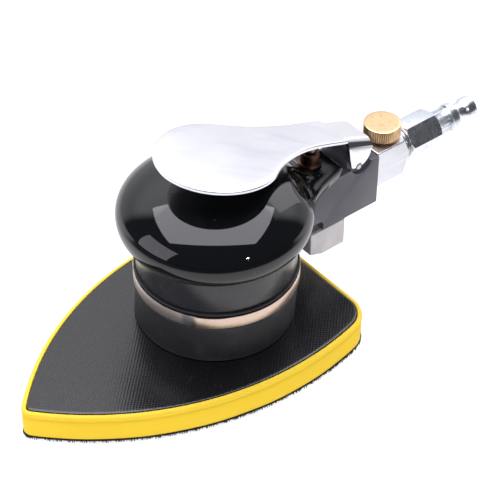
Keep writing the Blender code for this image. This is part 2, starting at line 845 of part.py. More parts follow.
def make_inlet_block():
    sides = (-INLET_HALF, INLET_HALF)
    bar = box(
        "inlet_block", (INLET_X, INLET_END_X), sides, (AXIS_Z - INLET_HALF, AXIS_Z + INLET_HALF)
    )
    bevelled(bar, 0.4, 1)
    axis = (0.0, 0.0, AXIS_Z)
    chamfer = turned(
        "inlet_chamfer",
        [(0.0, INLET_END_X - 0.01), (6.9, INLET_END_X - 0.01), (12.2, 86.3), (12.2, 70.0), (0.0, 70.0)],
        axis="X",
        at=axis,
    )
    boolean(bar, "INTERSECT", chamfer)
    joined(bar, rod("inlet_spigot", 5.2, 63.0, INLET_X + 1.0, "X", axis))
    cut(
        bar,
        rod("spigot_passage", 3.6, 60.0, 75.6, "X", axis, 16),
        rod("inlet_passage", 2.4, 75.0, 88.0, "X", axis, 12),
        rod("regulator_bore", 3.7, 43.2, 60.0, at=(REGULATOR_X, 0.0, 0.0), sides=20),
        rod("plug_bore", 5.3, 86.7, 93.0, "X", axis),
    )
    return [finished(bar, "aluminium")]


def make_inlet_screen():
    axis = (0.0, 0.0, AXIS_Z)
    screen = rod("inlet_screen", 3.3, 74.2, 75.0, "X", axis, 16)
    holes = [rod("screen_hole", 0.6, 72.0, 77.0, "X", axis, 8)]
    for i in range(6):
        turn = math.tau * i / 6
        at = (0.0, 2.0 * math.cos(turn), AXIS_Z + 2.0 * math.sin(turn))
        holes.append(rod(f"screen_hole_{i}", 0.6, 72.0, 77.0, "X", at, 8))
    return [finished(cut(screen, *holes), "steel")]


def make_regulator():
    """Knurled knob, its stem and spool with a cross hole, and the stem's seal."""
    at = (REGULATOR_X, 0.0, 0.0)
    knob = turned(
        "regulator_knob",
        [
            (0.0, KNOB_TOP),
            (KNOB_RADIUS - 0.4, KNOB_TOP),
            (KNOB_RADIUS, KNOB_TOP - 0.4),
            (KNOB_RADIUS, KNOB_TOP - 5.6),
            (5.2, KNOB_TOP - 5.6),
            (5.2, 57.0),
            (2.6, 57.0),
            (2.6, 60.8),
            (0.0, 60.8),
        ],
        steps=28,
        at=at,
    )
    profile = [(0.0, 60.4), (2.3, 60.4), (2.3, 52.3), (3.4, 52.3), (3.4, 43.5), (0.0, 43.5)]
    spool = turned("regulator_spool", profile, steps=20, at=at)
    cut(spool, rod("spool_port", 2.0, 76.0, 88.0, "X", (0.0, 0.0, AXIS_Z), 12))
    section = [(3.0 + r, 53.3 + h) for r, h in arc((0.0, 0.0), 0.42, 90, -270, 6)[:-1]]
    seal = turned("regulator_seal", section, True, 14, at=at)
    return [finished(knob, "brass"), finished(spool, "brass"), finished(seal, "rubber")]


def make_regulator_clip():
    clip = ring("regulator_clip", 2.6, 3.4, 54.4, 55.2, 20, at=(REGULATOR_X, 0.0, 0.0))
    return [finished(clip, "steel")]


def make_air_plug():
    """Threaded end, long hexagon, collar and the coupler's waist and nose, bored through."""
    axis = (0.0, 0.0, AXIS_Z)
    profile = [
        (4.5, PLUG_END_X),
        (4.9, PLUG_END_X - 0.6),
        (4.9, 126.6),
        (4.2, 125.6),
        (4.2, 121.6),
        (5.85, 120.2),
        (5.85, 117.2),
        (5.3, 116.6),
        (5.3, 107.0),
        (5.0, 107.0),
        (5.0, 87.0),
        (2.4, 87.0),
        (2.4, PLUG_END_X),
    ]
    plug = turned("air_plug", profile, True, 20, "X", axis)
    hexagon = rod("plug_hexagon", HEX_CORNER, *HEX_X, "X", axis, 6, HEX_SPIN)
    crown = turned(
        "hexagon_crown",
        [
            (0.0, HEX_X[1]),
            (7.3, HEX_X[1]),
            (8.6, HEX_X[1] - 0.9),
            (8.6, HEX_X[0] + 0.9),
            (7.3, HEX_X[0]),
            (0.0, HEX_X[0]),
        ],
        axis="X",
        at=axis,
    )
    boolean(hexagon, "INTERSECT", crown)
    joined(plug, hexagon)
    cut(plug, rod("plug_passage", 2.6, 85.0, 133.0, "X", axis, 20))
    seal = ring("plug_seal", 5.3, 6.8, INLET_END_X + GAP, HEX_X[0] - GAP, 24, "X", axis)
    return [finished(plug, "polished_steel"), finished(seal, "steel")]


# Muffler -----------------------------------------------------------------------------------------


def muffler_side(inset, top):
    """Side view of the exhaust box, whose front lower corner is cut off."""
    front, back = MUFFLER_X
    floor = MUFFLER_Z[0]
    return [
        (front + inset, top),
        (front + inset, floor + 2.2 + inset),
        (front + 6.1 + inset * 0.3, floor + inset),
        (back - inset, floor + inset),
        (back - inset, top),
    ]


def make_muffler():
    wide = HANDLE_HALF_WIDTH
    floor, top = MUFFLER_Z
    case = prism("muffler_housing", muffler_side(0.0, top), -wide, wide, upright=True)
    hollow = prism("muffler_hollow", muffler_side(1.6, top + 2), 1.6 - wide, wide - 1.6, upright=True)
    front = MUFFLER_X[0]
    slots = [
        box(f"outlet_slot_{i}", (front - 2, front + 3), (-5.5, 5.5), (z, z + 1.2))
        for i, z in enumerate((26.6, 29.0, 31.4))
    ]
    screw_hole = rod("case_screw_hole", SCREW_HOLE, floor - 2, top + 2, at=MUFFLER_SCREW, sides=12)
    cut(case, hollow, *slots, screw_hole)
    filling = prism("muffler_insert", muffler_side(2.0, top - 0.3), 2.0 - wide, wide - 2.0, upright=True)
    cut(filling, rod("insert_hole", SCREW_HOLE, floor - 2, top + 2, at=MUFFLER_SCREW, sides=12))
    profile = [
        (0.0, 39.5),
        (1.3, 39.5),
        (1.3, floor - GAP),
        (2.6, floor - GAP),
        (2.6, floor - 1.5),
        (2.0, floor - 1.9),
        (0.0, floor - 1.9),
    ]
    screw = turned("muffler_screw", profile, steps=12, at=MUFFLER_SCREW)
    return [
        finished(case, "grey_plastic"),
        finished(filling, "silencer_felt"),
        finished(screw, "steel"),
    ]


# Throttle ----------------------------------------------------------------------------------------


def lever_top(x):
    """Height of the lever's upper face, which is gently rolled along its length."""
    run = x - PADDLE_FRONT_X
    return LEVER_FRONT_Z - LEVER_SLOPE * run - LEVER_ROLL * run * (x - 20.0)


def lever_plan():
    """Round paddle, hollow sides down to a waist, and the wider stretch that carries the ears."""
    centre_y = LEVER_WAIST + LEVER_FILLET
    turn = math.degrees(math.atan2(centre_y, LEVER_FILLET_X - PADDLE_X))
    half = arc((PADDLE_X, 0.0), PADDLE_RADIUS, 180, turn, 14)
    half += arc((LEVER_FILLET_X, centre_y), LEVER_FILLET, turn + 180, 270, 8)[1:]
    half += [(EAR_FRONT_X, LEVER_WAIST), (EAR_FRONT_X, EAR_OUTER_Y), (LEVER_REAR_X, EAR_OUTER_Y)]
    return mirrored_outline(half + [(LEVER_REAR_X, 0.0)])


def ear_side():
    """Side view of an ear: it tapers down to a hook that sits over the pin."""
    notch = arc((PIN_X, PIN_Z), PIN_RADIUS + GAP, 0, 180, 6)
    return [
        (EAR_FRONT_X + 0.1, 70.6),
        (LEVER_REAR_X - 0.1, 66.0),
        (67.3, 60.8),
        (66.2, 59.0),
        (64.4, 57.5),
        *notch,
        (58.8, 57.4),
        (58.0, 58.4),
        (56.9, 64.0),
    ]


def make_throttle_lever():
    count = 16
    stations = [
        PADDLE_FRONT_X - 1 + (LEVER_REAR_X + 2 - PADDLE_FRONT_X) * i / count
        for i in range(count + 1)
    ]
    upper = [(x, lever_top(x)) for x in stations]
    lower = [(x, lever_top(x) - LEVER_THICKNESS) for x in reversed(stations)]
    lever = prism("throttle_lever", upper + lower, -26.0, 26.0, upright=True)
    boolean(lever, "INTERSECT", prism("lever_plan", lever_plan(), 55.0, 100.0))
    inner = EAR_OUTER_Y - LEVER_THICKNESS
    near = prism("ear_near", ear_side(), -EAR_OUTER_Y + 0.01, -inner, upright=True)
    far = prism("ear_far", ear_side(), inner, EAR_OUTER_Y - 0.01, upright=True)
    return [finished(joined(lever, near, far), "polished_steel")]


def make_lever_pin():
    at = (PIN_X, 0.0, PIN_Z)
    return [finished(rod("lever_pin", PIN_RADIUS, -9.7, 9.7, "Y", at, 16), "steel")]


def make_valve():
    """Brass bushing in the handle, and the push pin whose poppet closes its lower end."""
    at = (VALVE_X, 0.0, 0.0)
    bushing = turned(
        "valve_bushing",
        [
            (4.2, 65.5),
            (4.6, 65.1),
            (4.6, TAIL_TOP + GAP),
            (3.9, TAIL_TOP + GAP),
            (3.9, VALVE_SEAT_Z),
            (2.4, VALVE_SEAT_Z),
            (2.4, 65.5),
        ],
        True,
        24,
        at=at,
    )
    cut(bushing, rod("bushing_port", 1.5, 38.0, 52.0, "X", (0.0, 0.0, FEED_Z), 12))
    poppet_top = VALVE_SEAT_Z - 1.3
    stem = turned(
        "valve_stem",
        [
            (0.0, 72.7),
            (1.6, 72.5),
            (2.4, 71.8),
            (2.4, 67.6),
            (1.4, 67.6),
            (1.4, poppet_top),
            (3.4, poppet_top),
            (3.4, poppet_top - 1.8),
            (0.0, poppet_top - 1.8),
        ],
        steps=16,
        at=at,
    )
    seal = ring("valve_seal", 1.7, 3.4, poppet_top + GAP, VALVE_SEAT_Z - GAP, 16, at=at)
    spring = helix("valve_spring", 2.6, 0.32, 37.7, 43.0, 4, at)
    return [
        finished(bushing, "brass"),
        finished(stem, "steel"),
        finished(seal, "rubber"),
        finished(spring, "steel"),
    ]


# Assembly ----------------------------------------------------------------------------------------


def axis_empty(name, at):
    """An empty on a joint's axis, which carries the pieces that move about it."""
    made = bpy.data.objects.new(name, None)
    PARTS.objects.link(made)
    made.location = [value * MM for value in at]
    return made


def carry(empty, pieces):
    bpy.context.view_layer.update()
    for piece in pieces:
        piece.parent = empty
        piece.matrix_parent_inverse = empty.matrix_world.inverted()


def build():
    housing = axis_empty("housing_frame", (0.0, 0.0, 0.0))
    crank = axis_empty("crank_axis", (0.0, 0.0, 0.0))
    pad = axis_empty("pad_axis", (0.0, THROW, 0.0))
    lever = axis_empty("lever_axis", (PIN_X, 0.0, PIN_Z))
    valve = axis_empty("valve_axis", (VALVE_X, 0.0, 0.0))
    regulator = axis_empty("regulator_axis", (REGULATOR_X, 0.0, 0.0))

    bushing, stem, seal, spring = make_valve()
    carry(
        housing,
        make_motor_housing()
        + make_cylinder_liner()
        + make_end_plates()
        + make_motor_fixings()
        + [make_bearing_outer("upper_bearing_outer", UPPER_BEARING_Z)]
        + [make_bearing_outer("lower_bearing_outer", LOWER_BEARING_Z)]
        + make_rubber_boot()
        + make_boot_clamp()
        + make_palm_grip()
        + make_grip_screw()
        + make_inlet_block()
        + make_inlet_screen()
        + make_regulator_clip()
        + make_air_plug()
        + make_muffler()
        + make_lever_pin()
        + [bushing, spring],
    )
    carry(
        crank,
        make_crank_shaft()
        + make_rotor()
        + make_vanes()
        + make_crank_fixings()
        + [make_bearing_inner("upper_bearing_inner", UPPER_BEARING_Z)]
        + [make_bearing_inner("lower_bearing_inner", LOWER_BEARING_Z)]
        + [make_bearing_inner("pad_bearing_inner", PAD_BEARING_Z, THROW)]
        + [make_bearing_balls("upper_bearing_balls", UPPER_BEARING_Z)]
        + [make_bearing_balls("lower_bearing_balls", LOWER_BEARING_Z)]
        + [make_bearing_balls("pad_bearing_balls", PAD_BEARING_Z, THROW)],
    )
    carry(
        pad,
        make_pad_foam()
        + make_hook_facing()
        + make_pad_plate()
        + make_pad_hub()
        + make_hub_screws()
        + make_bearing_clip()
        + [make_bearing_outer("pad_bearing_outer", PAD_BEARING_Z, THROW)],
    )
    carry(lever, make_throttle_lever())
    carry(valve, [stem, seal])
    carry(regulator, make_regulator())


build()
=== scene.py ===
"""Looks of the air-driven detail sander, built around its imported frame.

Lengths in this file are in millimetres and become metres as each mesh is made.
"""

import json
import math
import random

import bmesh
import bpy
from mathutils import Matrix, Vector


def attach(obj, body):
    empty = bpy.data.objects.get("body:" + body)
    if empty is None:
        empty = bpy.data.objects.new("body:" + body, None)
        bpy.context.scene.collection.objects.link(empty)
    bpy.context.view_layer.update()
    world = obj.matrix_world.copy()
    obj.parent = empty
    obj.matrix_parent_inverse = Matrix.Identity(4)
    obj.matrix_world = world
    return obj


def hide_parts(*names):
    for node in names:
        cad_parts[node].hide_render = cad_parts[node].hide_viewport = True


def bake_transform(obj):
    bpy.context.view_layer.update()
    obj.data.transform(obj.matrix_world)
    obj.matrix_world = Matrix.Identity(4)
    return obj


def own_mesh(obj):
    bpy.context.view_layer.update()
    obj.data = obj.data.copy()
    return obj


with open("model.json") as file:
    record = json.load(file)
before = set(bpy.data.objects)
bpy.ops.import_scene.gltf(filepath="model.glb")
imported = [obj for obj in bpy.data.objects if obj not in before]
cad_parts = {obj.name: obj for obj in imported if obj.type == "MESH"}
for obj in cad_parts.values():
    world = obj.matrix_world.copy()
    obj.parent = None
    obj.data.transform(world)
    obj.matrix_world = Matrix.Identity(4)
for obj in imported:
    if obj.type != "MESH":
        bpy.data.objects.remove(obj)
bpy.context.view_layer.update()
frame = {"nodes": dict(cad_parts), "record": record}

MM = 0.001

# Camera: its angles in degrees, and its distance from VIEW_TARGET
VIEW_AZIMUTH = -39.31
VIEW_ELEVATION = 41.14
VIEW_ROLL = 0.48
VIEW_DISTANCE = 659.1
VIEW_TARGET = (15.93, -0.29, 33.69)
LENS = 124.6

# Studio: DOME_HEIGHT is where the lights aim
DOME_HEIGHT = 70.0
FLOOR_RADIUS = 5000.0
LIT_RADII = (150.0, 230.0)
LIT_DEPTHS = (-40.0, 80.0)
LIGHT_COLOUR = (0.935, 0.93, 1.0)

# Pad
THROW = 1.25
PAD_CENTRE_Y = 0.4
SIDE_RADIUS = 122.7
SIDE_CENTRE = (6.1, 79.6)
TIP_RADIUS = 2.0
HEEL_X = 42.7
HEEL_RADIUS = 11.0
HOOK_ROWS = (2.1, 1.75, 1.2)
HOOK_PITCH = 0.6
HOOK_TOP = 1.5
HOOK_TIP_HIGHEST = 0.9

# Motor housing and boot
BODY_RADIUS = 30.4
BODY_BOTTOM = 29.3
SHOULDER_Z = 38.5
HANDLE_X = (25.0, 72.8)
HANDLE_HALF_WIDTH = 9.0
HANDLE_BOTTOM = 34.2
HANDLE_TOP = 56.4
INLET_AXIS = (0.0, 0.0, 48.6)
SILENCER_SCREW_X = 52.0

# Strap: its angles are in degrees
STRAP_RADIUS = 31.6
STRAP_INNER = 31.14
STRAP_Z = (31.75, 36.75)
STRAP_THICKNESS = 0.38
LAP_EDGE = -142.0
LAP = 14.0
LAP_LIFT = 0.42

# Palm grip: the dome's section is a superellipse that the tail shares down to SHARED_TURN
GRIP_X = -0.6
GRIP_RADIUS = 36.6
GRIP_WIDEST_Z = 61.5
GRIP_TOP = 77.0
GRIP_BOTTOM = 54.2
GRIP_LIP = 31.8
GRIP_POWER = 2.2
GRIP_BORE = 30.75
GRIP_CEILING = 74.6
GRIP_SCREW_X = 19.0
SHARED_TURN = 42.0
SHARED_STEPS = 16
TAIL_Z = 61.0
TAIL_FLAT_R = 47.5
TAIL_FOOT_Z = 56.7
TAIL_END_X = 54.5
TAIL_HALF_WIDTH = 9.3
TAIL_EDGE = 1.7
TAIL_FILLET = 45.0
TAIL_SWEEP = (50.0, 9.0)

# Throttle
PIN_X = 61.7
PIN_Z = 57.2
VALVE_X = 45.0
LEVER_THICKNESS = 1.6
PADDLE_RADIUS = 22.8
PADDLE_X = 0.2
LEVER_WAIST = 8.4
LEVER_FILLET_X = 44.0
LEVER_FILLET = 51.0
LEVER_EDGE = 0.42
GRAIN_TURN = -39.31
EAR_X = (56.3, 68.5)
EAR_OUTER_Y = 9.5
EAR_BEND = 3.5
BEND_POWER = 1.45
SPRING_RADIUS = 2.6
SPRING_WIRE = 0.32
SPRING_Z = (37.7, 43.0)
SPRING_TURNS = 4

# Regulator and plug
REGULATOR_X = 82.06
KNOB_RADIUS = 7.42
KNOB_TOP = 63.5
KNURL_TEETH = 54
KNURL_Z = (58.3, 63.2)
KNURL_DEPTH = 0.42
HEX_X = (92.2, 108.7)
HEX_CORNER = 8.37
HEX_SPIN = 20.0

# Silencer box
MUFFLER_X = (39.0, 56.4)
MUFFLER_BOTTOM = 21.9
MUFFLER_TOP = 33.9
MUFFLER_WALL = 1.6


# Finishes ----------------------------------------------------------------------------------------


class Graph:
    """Short ways of adding number nodes to a node tree."""

    def __init__(self, tree):
        self.nodes, self.links = tree.nodes, tree.links

    def math(self, operation, *values):
        made = self.nodes.new("ShaderNodeMath")
        made.operation = operation
        for socket, value in zip(made.inputs, values):
            if isinstance(value, (int, float)):
                socket.default_value = value
            else:
                self.links.new(value, socket)
        return made.outputs["Value"]

    def span(self, value, low, high, to_low=0.0, to_high=1.0):
        """Eases a value's range over to another one, and stays at its ends outside it."""
        made = self.nodes.new("ShaderNodeMapRange")
        made.interpolation_type = "SMOOTHSTEP"
        names = ("From Min", "From Max", "To Min", "To Max")
        for socket, number in zip(names, (low, high, to_low, to_high)):
            made.inputs[socket].default_value = number
        self.links.new(value, made.inputs["Value"])
        return made.outputs["Result"]

    def blend(self, share, first, second):
        rest = self.math("SUBTRACT", 1.0, share)
        return self.math("ADD", self.math("MULTIPLY", rest, first), self.math("MULTIPLY", share, second))

    def camera_ray(self):
        """1 where the camera sees a surface itself, 0 where another piece mirrors it."""
        return self.nodes.new("ShaderNodeLightPath").outputs["Is Camera Ray"]


class Finish(Graph):
    """A Principled material, and short ways of giving it pattern and relief."""

    def __init__(self, name, colour, roughness, metallic=0.0, **sockets):
        self.material = bpy.data.materials.new(name)
        self.material.use_nodes = True
        super().__init__(self.material.node_tree)
        self.shader = self.nodes["Principled BSDF"]
        self.colour = (*colour, 1.0)
        self.shader.inputs["Base Color"].default_value = self.colour
        self.shader.inputs["Roughness"].default_value = roughness
        self.shader.inputs["Metallic"].default_value = metallic
        for socket, value in sockets.items():
            self.shader.inputs[socket.replace("_", " ")].default_value = value
        self.place = self.nodes.new("ShaderNodeTexCoord").outputs["Object"]

    def scaled(self, size, turn=0.0):
        """Object coordinates in which one unit is the given size, in millimetres along X, Y, Z,
        after a turn about Z in degrees."""
        mapping = self.nodes.new("ShaderNodeMapping")
        mapping.vector_type = "TEXTURE"
        mapping.inputs["Scale"].default_value = [s * MM for s in size]
        mapping.inputs["Rotation"].default_value = (0.0, 0.0, math.radians(turn))
        self.links.new(self.place, mapping.inputs["Vector"])
        return mapping.outputs["Vector"]

    def noise(self, size, detail=3.0, roughness=0.55, turn=0.0):
        """Noise with features of a size in millimetres, or of one size for each axis."""
        size = size if isinstance(size, tuple) else (size,) * 3
        made = self.nodes.new("ShaderNodeTexNoise")
        made.inputs["Scale"].default_value = 1.0
        made.inputs["Detail"].default_value = detail
        made.inputs["Roughness"].default_value = roughness
        self.links.new(self.scaled(size, turn), made.inputs["Vector"])
        return made.outputs["Fac"]

    def cells(self, size):
        made = self.nodes.new("ShaderNodeTexVoronoi")
        made.inputs["Scale"].default_value = 1.0
        self.links.new(self.scaled((size,) * 3), made.inputs["Vector"])
        return made.outputs["Distance"]

    def within(self, at, low, high):
        """1 nearer to a point of the X-Y plane than low, 0 beyond high, in millimetres."""
        squares = []
        for index, centre in enumerate(at):
            offset = self.math("SUBTRACT", self.axis(index), centre * MM)
            squares.append(self.math("MULTIPLY", offset, offset))
        return self.span(self.math("SQRT", self.math("ADD", *squares)), low * MM, high * MM, 1.0, 0.0)

    def axis(self, index):
        made = self.nodes.new("ShaderNodeSeparateXYZ")
        self.links.new(self.place, made.inputs["Vector"])
        return made.outputs[index]

    def tint(self, share, colour):
        """Mixes another colour over the base, where share is 1."""
        base = self.shader.inputs["Base Color"]
        mix = self.nodes.new("ShaderNodeMix")
        mix.data_type = "RGBA"
        if base.is_linked:
            self.links.new(base.links[0].from_socket, mix.inputs[6])
        else:
            mix.inputs[6].default_value = self.colour
        mix.inputs[7].default_value = (*colour, 1.0)
        self.links.new(share, mix.inputs[0])
        self.links.new(mix.outputs[2], base)
        return self

    def rough(self, roughness):
        self.links.new(roughness, self.shader.inputs["Roughness"])
        return self

    def uneven(self, share, low, high):
        """A roughness that wanders between two values."""
        return self.span(share, 0.3, 0.7, low, high)

    def patches(self, size, low, high, detail=3.0, roughness=0.55, turn=0.0):
        """Soft patches: 1 where a noise is above high, 0 where it is below low."""
        return self.span(self.noise(size, detail, roughness, turn), low, high)

    def relief(self, height, depth, strength=1.0):
        """Adds relief of a depth in millimetres; several add up."""
        normal = self.shader.inputs["Normal"]
        bump = self.nodes.new("ShaderNodeBump")
        bump.inputs["Distance"].default_value = depth * MM
        bump.inputs["Strength"].default_value = strength
        self.links.new(height, bump.inputs["Height"])
        if normal.is_linked:
            self.links.new(normal.links[0].from_socket, bump.inputs["Normal"])
        self.links.new(bump.outputs["Normal"], normal)
        return self


def gloss_black():
    made = Finish("gloss_black", (0.004, 0.0045, 0.0055), 0.035, IOR=1.5)
    specks = made.span(made.cells(5.0), 0.03, 0.045, 1.0, 0.0)
    return made.tint(specks, (0.12, 0.13, 0.14)).material


def black_casting():
    """A casting whose barrel is smoother and darker."""
    made = Finish("black_casting", (0.07, 0.068, 0.083), 0.36)
    made.relief(made.noise(0.5, 4.0), 0.012, 0.5)
    made.tint(made.patches(22.0, 0.35, 0.75, 4.0), (0.09, 0.087, 0.106))
    barrel = made.within((0.0, 0.0), BODY_RADIUS + 0.3, BODY_RADIUS + 1.2)
    made.tint(barrel, (0.026, 0.026, 0.031))
    satin = made.uneven(made.noise(9.0), 0.3, 0.42)
    turned = made.uneven(made.noise(7.0), 0.2, 0.3)
    return made.rough(made.blend(barrel, satin, turned)).material


def rubber():
    made = Finish("rubber", (0.017, 0.017, 0.019), 0.6)
    made.relief(made.noise(0.35, 4.0), 0.02, 0.7)
    made.rough(made.uneven(made.noise(8.0, 4.0), 0.5, 0.72))
    return made.tint(made.patches(11.0, 0.45, 0.8, 5.0), (0.034, 0.033, 0.036)).material


def steel():
    made = Finish("steel", (0.56, 0.55, 0.53), 0.3, 1.0)
    made.relief(made.noise((0.25, 0.25, 3.0), 2.0), 0.004, 0.6)
    return made.rough(made.uneven(made.noise(5.0, 4.0), 0.24, 0.38)).material


def strap_steel():
    """Spring steel: bright where its end laps over; beyond the edge of the lap it is rougher and painted
    greyer, a painted reflection of the darker things below it.
    """
    made = Finish("strap_steel", (0.67, 0.52, 0.43), 0.3, 1.0)
    made.relief(made.noise((14.0, 14.0, 0.18), 2.0), 0.004, 0.4)
    edge, dark_spot, reflection_centre = (
        tuple(STRAP_RADIUS * f(math.radians(LAP_EDGE - back)) for f in (math.cos, math.sin))
        for back in (0.0, 5.0, 42.0)
    )
    rougher_and_painted_reflection = made.within(reflection_centre, 20.0, 22.5)
    # painted reflection: the far side of the strap is painted greyer, where it mirrors the darker things
    # below it
    made.tint(rougher_and_painted_reflection, (0.52, 0.47, 0.44))
    # a dark grey spot just beyond the end of the lap
    made.tint(made.within(dark_spot, 1.5, 3.4), (0.24, 0.24, 0.255))
    made.tint(made.within(edge, 0.2, 0.8), (0.5, 0.42, 0.3))
    made.rough(made.blend(rougher_and_painted_reflection, 0.3, 0.46))
    return made.tint(made.patches(2.4, 0.5, 0.8), (0.56, 0.44, 0.37)).material


def lever_steel():
    """Sheet with a fine grain across it, and a smoother bend and ear at its end."""
    made = Finish("lever_steel", (0.84, 0.835, 0.87), 0.24, 1.0)
    grain = made.noise((40.0, 0.28, 0.28), 4.0, 0.65, GRAIN_TURN)
    made.relief(grain, 0.0025, 0.4)
    made.tint(made.span(grain, 0.35, 0.75), (0.785, 0.785, 0.83))
    clouds = made.patches((30.0, 6.0, 6.0), 0.45, 0.75, 3.0, 0.5, GRAIN_TURN)
    made.tint(clouds, (0.77, 0.765, 0.82))
    side = made.span(made.math("ABSOLUTE", made.axis(1)), 5.8 * MM, 6.4 * MM)
    bend = made.math("MULTIPLY", side, made.span(made.axis(0), 55.8 * MM, 56.4 * MM))
    brushed = made.uneven(made.noise(20.0, 2.0), 0.22, 0.28)
    return made.rough(made.blend(bend, brushed, 0.07)).material


def plated_steel():
    made = Finish("plated_steel", (0.79, 0.82, 0.87), 0.2, 1.0)
    made.relief(made.noise((0.6, 4.0, 4.0)), 0.004, 0.5)
    made.rough(made.uneven(made.noise(3.0, 4.0), 0.22, 0.32))
    return made.tint(made.patches(3.0, 0.45, 0.75, 4.0), (0.62, 0.65, 0.72)).material


def aluminium():
    made = Finish("aluminium", (0.77, 0.77, 0.8), 0.34, 1.0)
    grain = made.noise((16.0, 0.22, 0.22), 4.0, 0.7)
    made.relief(grain, 0.008, 0.7)
    made.rough(made.uneven(made.noise((9.0, 1.0, 1.0)), 0.28, 0.4))
    return made.tint(made.span(grain, 0.3, 0.75), (0.66, 0.655, 0.7)).material


def brass():
    made = Finish("brass", (0.69, 0.48, 0.28), 0.3, 1.0)
    mottle = made.noise(2.2, 6.0, 0.65)
    made.relief(made.noise(0.5), 0.008, 0.7)
    made.rough(made.uneven(mottle, 0.26, 0.44))
    return made.tint(made.span(mottle, 0.5, 0.72), (0.56, 0.33, 0.16)).material


def shaded_brown_brass():
    # brass with its own brown tone, darkened with painted shade where it sits under the lever
    made = Finish("shaded_brown_brass", (0.2, 0.1, 0.07), 0.38, 1.0)
    made.rough(made.uneven(made.noise(2.5, 4.0), 0.3, 0.5))
    return made.tint(made.patches(3.0, 0.4, 0.7, 4.0), (0.11, 0.06, 0.05)).material


def fibre_board():
    """Plain weave under a thin resin skin, with a few scuffs."""
    made = Finish("fibre_board", (0.004, 0.004, 0.005), 0.2, IOR=1.6)
    pitch = 0.8
    waves = [made.math("MULTIPLY", made.axis(i), math.pi / (pitch * MM)) for i in (0, 1)]
    weave = made.math("MULTIPLY", *(made.math("SINE", wave) for wave in waves))
    slubs = made.noise(1.1, 3.0, 0.6)
    cloth = made.math("ADD", weave, made.math("MULTIPLY", slubs, 1.4))
    made.relief(weave, 0.02, 0.8)
    made.relief(slubs, 0.03, 0.5)
    made.rough(made.span(cloth, 0.1, 1.5, 0.3, 0.13))
    made.tint(made.span(cloth, 0.7, 1.6), (0.012, 0.012, 0.015))
    scuffs = made.patches((7.0, 0.5, 7.0), 0.66, 0.74, 3.0, 0.5, 25.0)
    return made.tint(scuffs, (0.03, 0.03, 0.032)).material


def yellow_foam():
    """Fine pores, a paler band painted round the top rim for the light that falls on it, and painted
    shade along the pressed crease.
    """
    made = Finish("yellow_foam", (0.93, 0.63, 0.024), 0.8)
    pores = made.cells(0.45)
    made.relief(pores, 0.05, 0.5)
    made.relief(made.noise((26.0, 26.0, 3.0)), 0.25, 0.35)
    height = made.axis(2)
    # painted sheen: a paler band round the top rim, where the light falls on it
    rim = made.span(height, 11.6 * MM, 12.6 * MM)
    made.tint(rim, (0.84, 0.6, 0.04))
    # painted shade: a darker line along the pressed crease
    crease = made.math(
        "MULTIPLY",
        made.span(height, 9.7 * MM, 10.3 * MM),
        made.span(height, 10.4 * MM, 11.2 * MM, 1.0, 0.0),
    )
    made.tint(made.math("MULTIPLY", crease, 0.45), (0.66, 0.4, 0.01))
    blotches = made.math("MULTIPLY", made.patches(17.0, 0.45, 0.8), 0.35)
    return made.tint(blotches, (0.88, 0.56, 0.018)).material


def hook_fabric():
    made = Finish("hook_fabric", (0.008, 0.008, 0.009), 0.85)
    pile = made.cells(0.9)
    made.relief(pile, 0.4, 0.9)
    return made.tint(made.span(pile, 0.2, 0.5, 1.0, 0.0), (0.02, 0.02, 0.021)).material


def vane_composite():
    made = Finish("vane_composite", (0.25, 0.13, 0.06), 0.55)
    layers = made.noise((0.3, 6.0, 6.0), 2.0)
    return made.tint(made.span(layers, 0.4, 0.6), (0.14, 0.07, 0.035)).relief(layers, 0.02).material


def silencer_felt():
    made = Finish("silencer_felt", (0.5, 0.48, 0.45), 0.95)
    fibres = made.noise((0.3, 2.0, 0.6), 5.0)
    return made.tint(made.span(fibres, 0.4, 0.7), (0.3, 0.29, 0.27)).relief(fibres, 0.3).material


def grey_plastic():
    made = Finish("grey_plastic", (0.56, 0.53, 0.54), 0.42, 0.35)
    made.relief(made.noise(0.35), 0.012, 0.8)
    made.rough(made.uneven(made.noise(4.0), 0.36, 0.5))
    return made.tint(made.patches(7.0, 0.4, 0.75), (0.64, 0.61, 0.62)).material


FINISHES = {
    "black_casting": black_casting(),
    "gloss_black": gloss_black(),
    "rubber": rubber(),
    "steel": steel(),
    "polished_steel": plated_steel(),
    "aluminium": aluminium(),
    "brass": brass(),
    "fibre_board": fibre_board(),
    "yellow_foam": yellow_foam(),
    "hook_fabric": hook_fabric(),
    "vane_composite": vane_composite(),
    "silencer_felt": silencer_felt(),
    "grey_plastic": grey_plastic(),
}


# Shapes ------------------------------------------------------------------------------------------


def mix(a, b, share):
    return a + (b - a) * share


def arc(centre, radius, start, end, steps):
    """Points on a circle from one angle to another, in degrees, both ends included."""
    turns = [math.radians(mix(start, end, i / steps)) for i in range(steps + 1)]
    return [(centre[0] + radius * math.cos(t), centre[1] + radius * math.sin(t)) for t in turns]


def eased(points, radius, steps=3, closed=False):
    """A flat line of points with its corners rounded off."""
    count = len(points)
    made = []
    for i, corner in enumerate(points):
        if not closed and i in (0, count - 1):
            made.append(corner)
            continue
        here = Vector(corner)
        before, after = Vector(points[i - 1]) - here, Vector(points[(i + 1) % count]) - here
        reach = min(radius, 0.45 * before.length, 0.45 * after.length)
        start, end = here + before.normalized() * reach, here + after.normalized() * reach
        for k in range(steps + 1):
            t = k / steps
            place = start * (1 - t) ** 2 + here * 2 * t * (1 - t) + end * t * t
            made.append(tuple(place))
    return made


def polar(radius, turn, z):
    """A corner at a radius and an angle in radians about the Z axis."""
    return (radius * math.cos(turn), radius * math.sin(turn), z)


def mirrored_outline(half):
    return half + [(x, -y) for x, y in reversed(half) if abs(y) > 1e-6]


def band(bm, first, second):
    """Joins two rings of corners with faces; a ring of one corner is a pole."""
    count = max(len(first), len(second))
    if count == 1:
        return
    for i in range(count):
        j = (i + 1) % count
        corners = [first[i % len(first)], first[j % len(first)]]
        corners += [second[j % len(second)], second[i % len(second)]]
        bm.faces.new(list(dict.fromkeys(corners)))


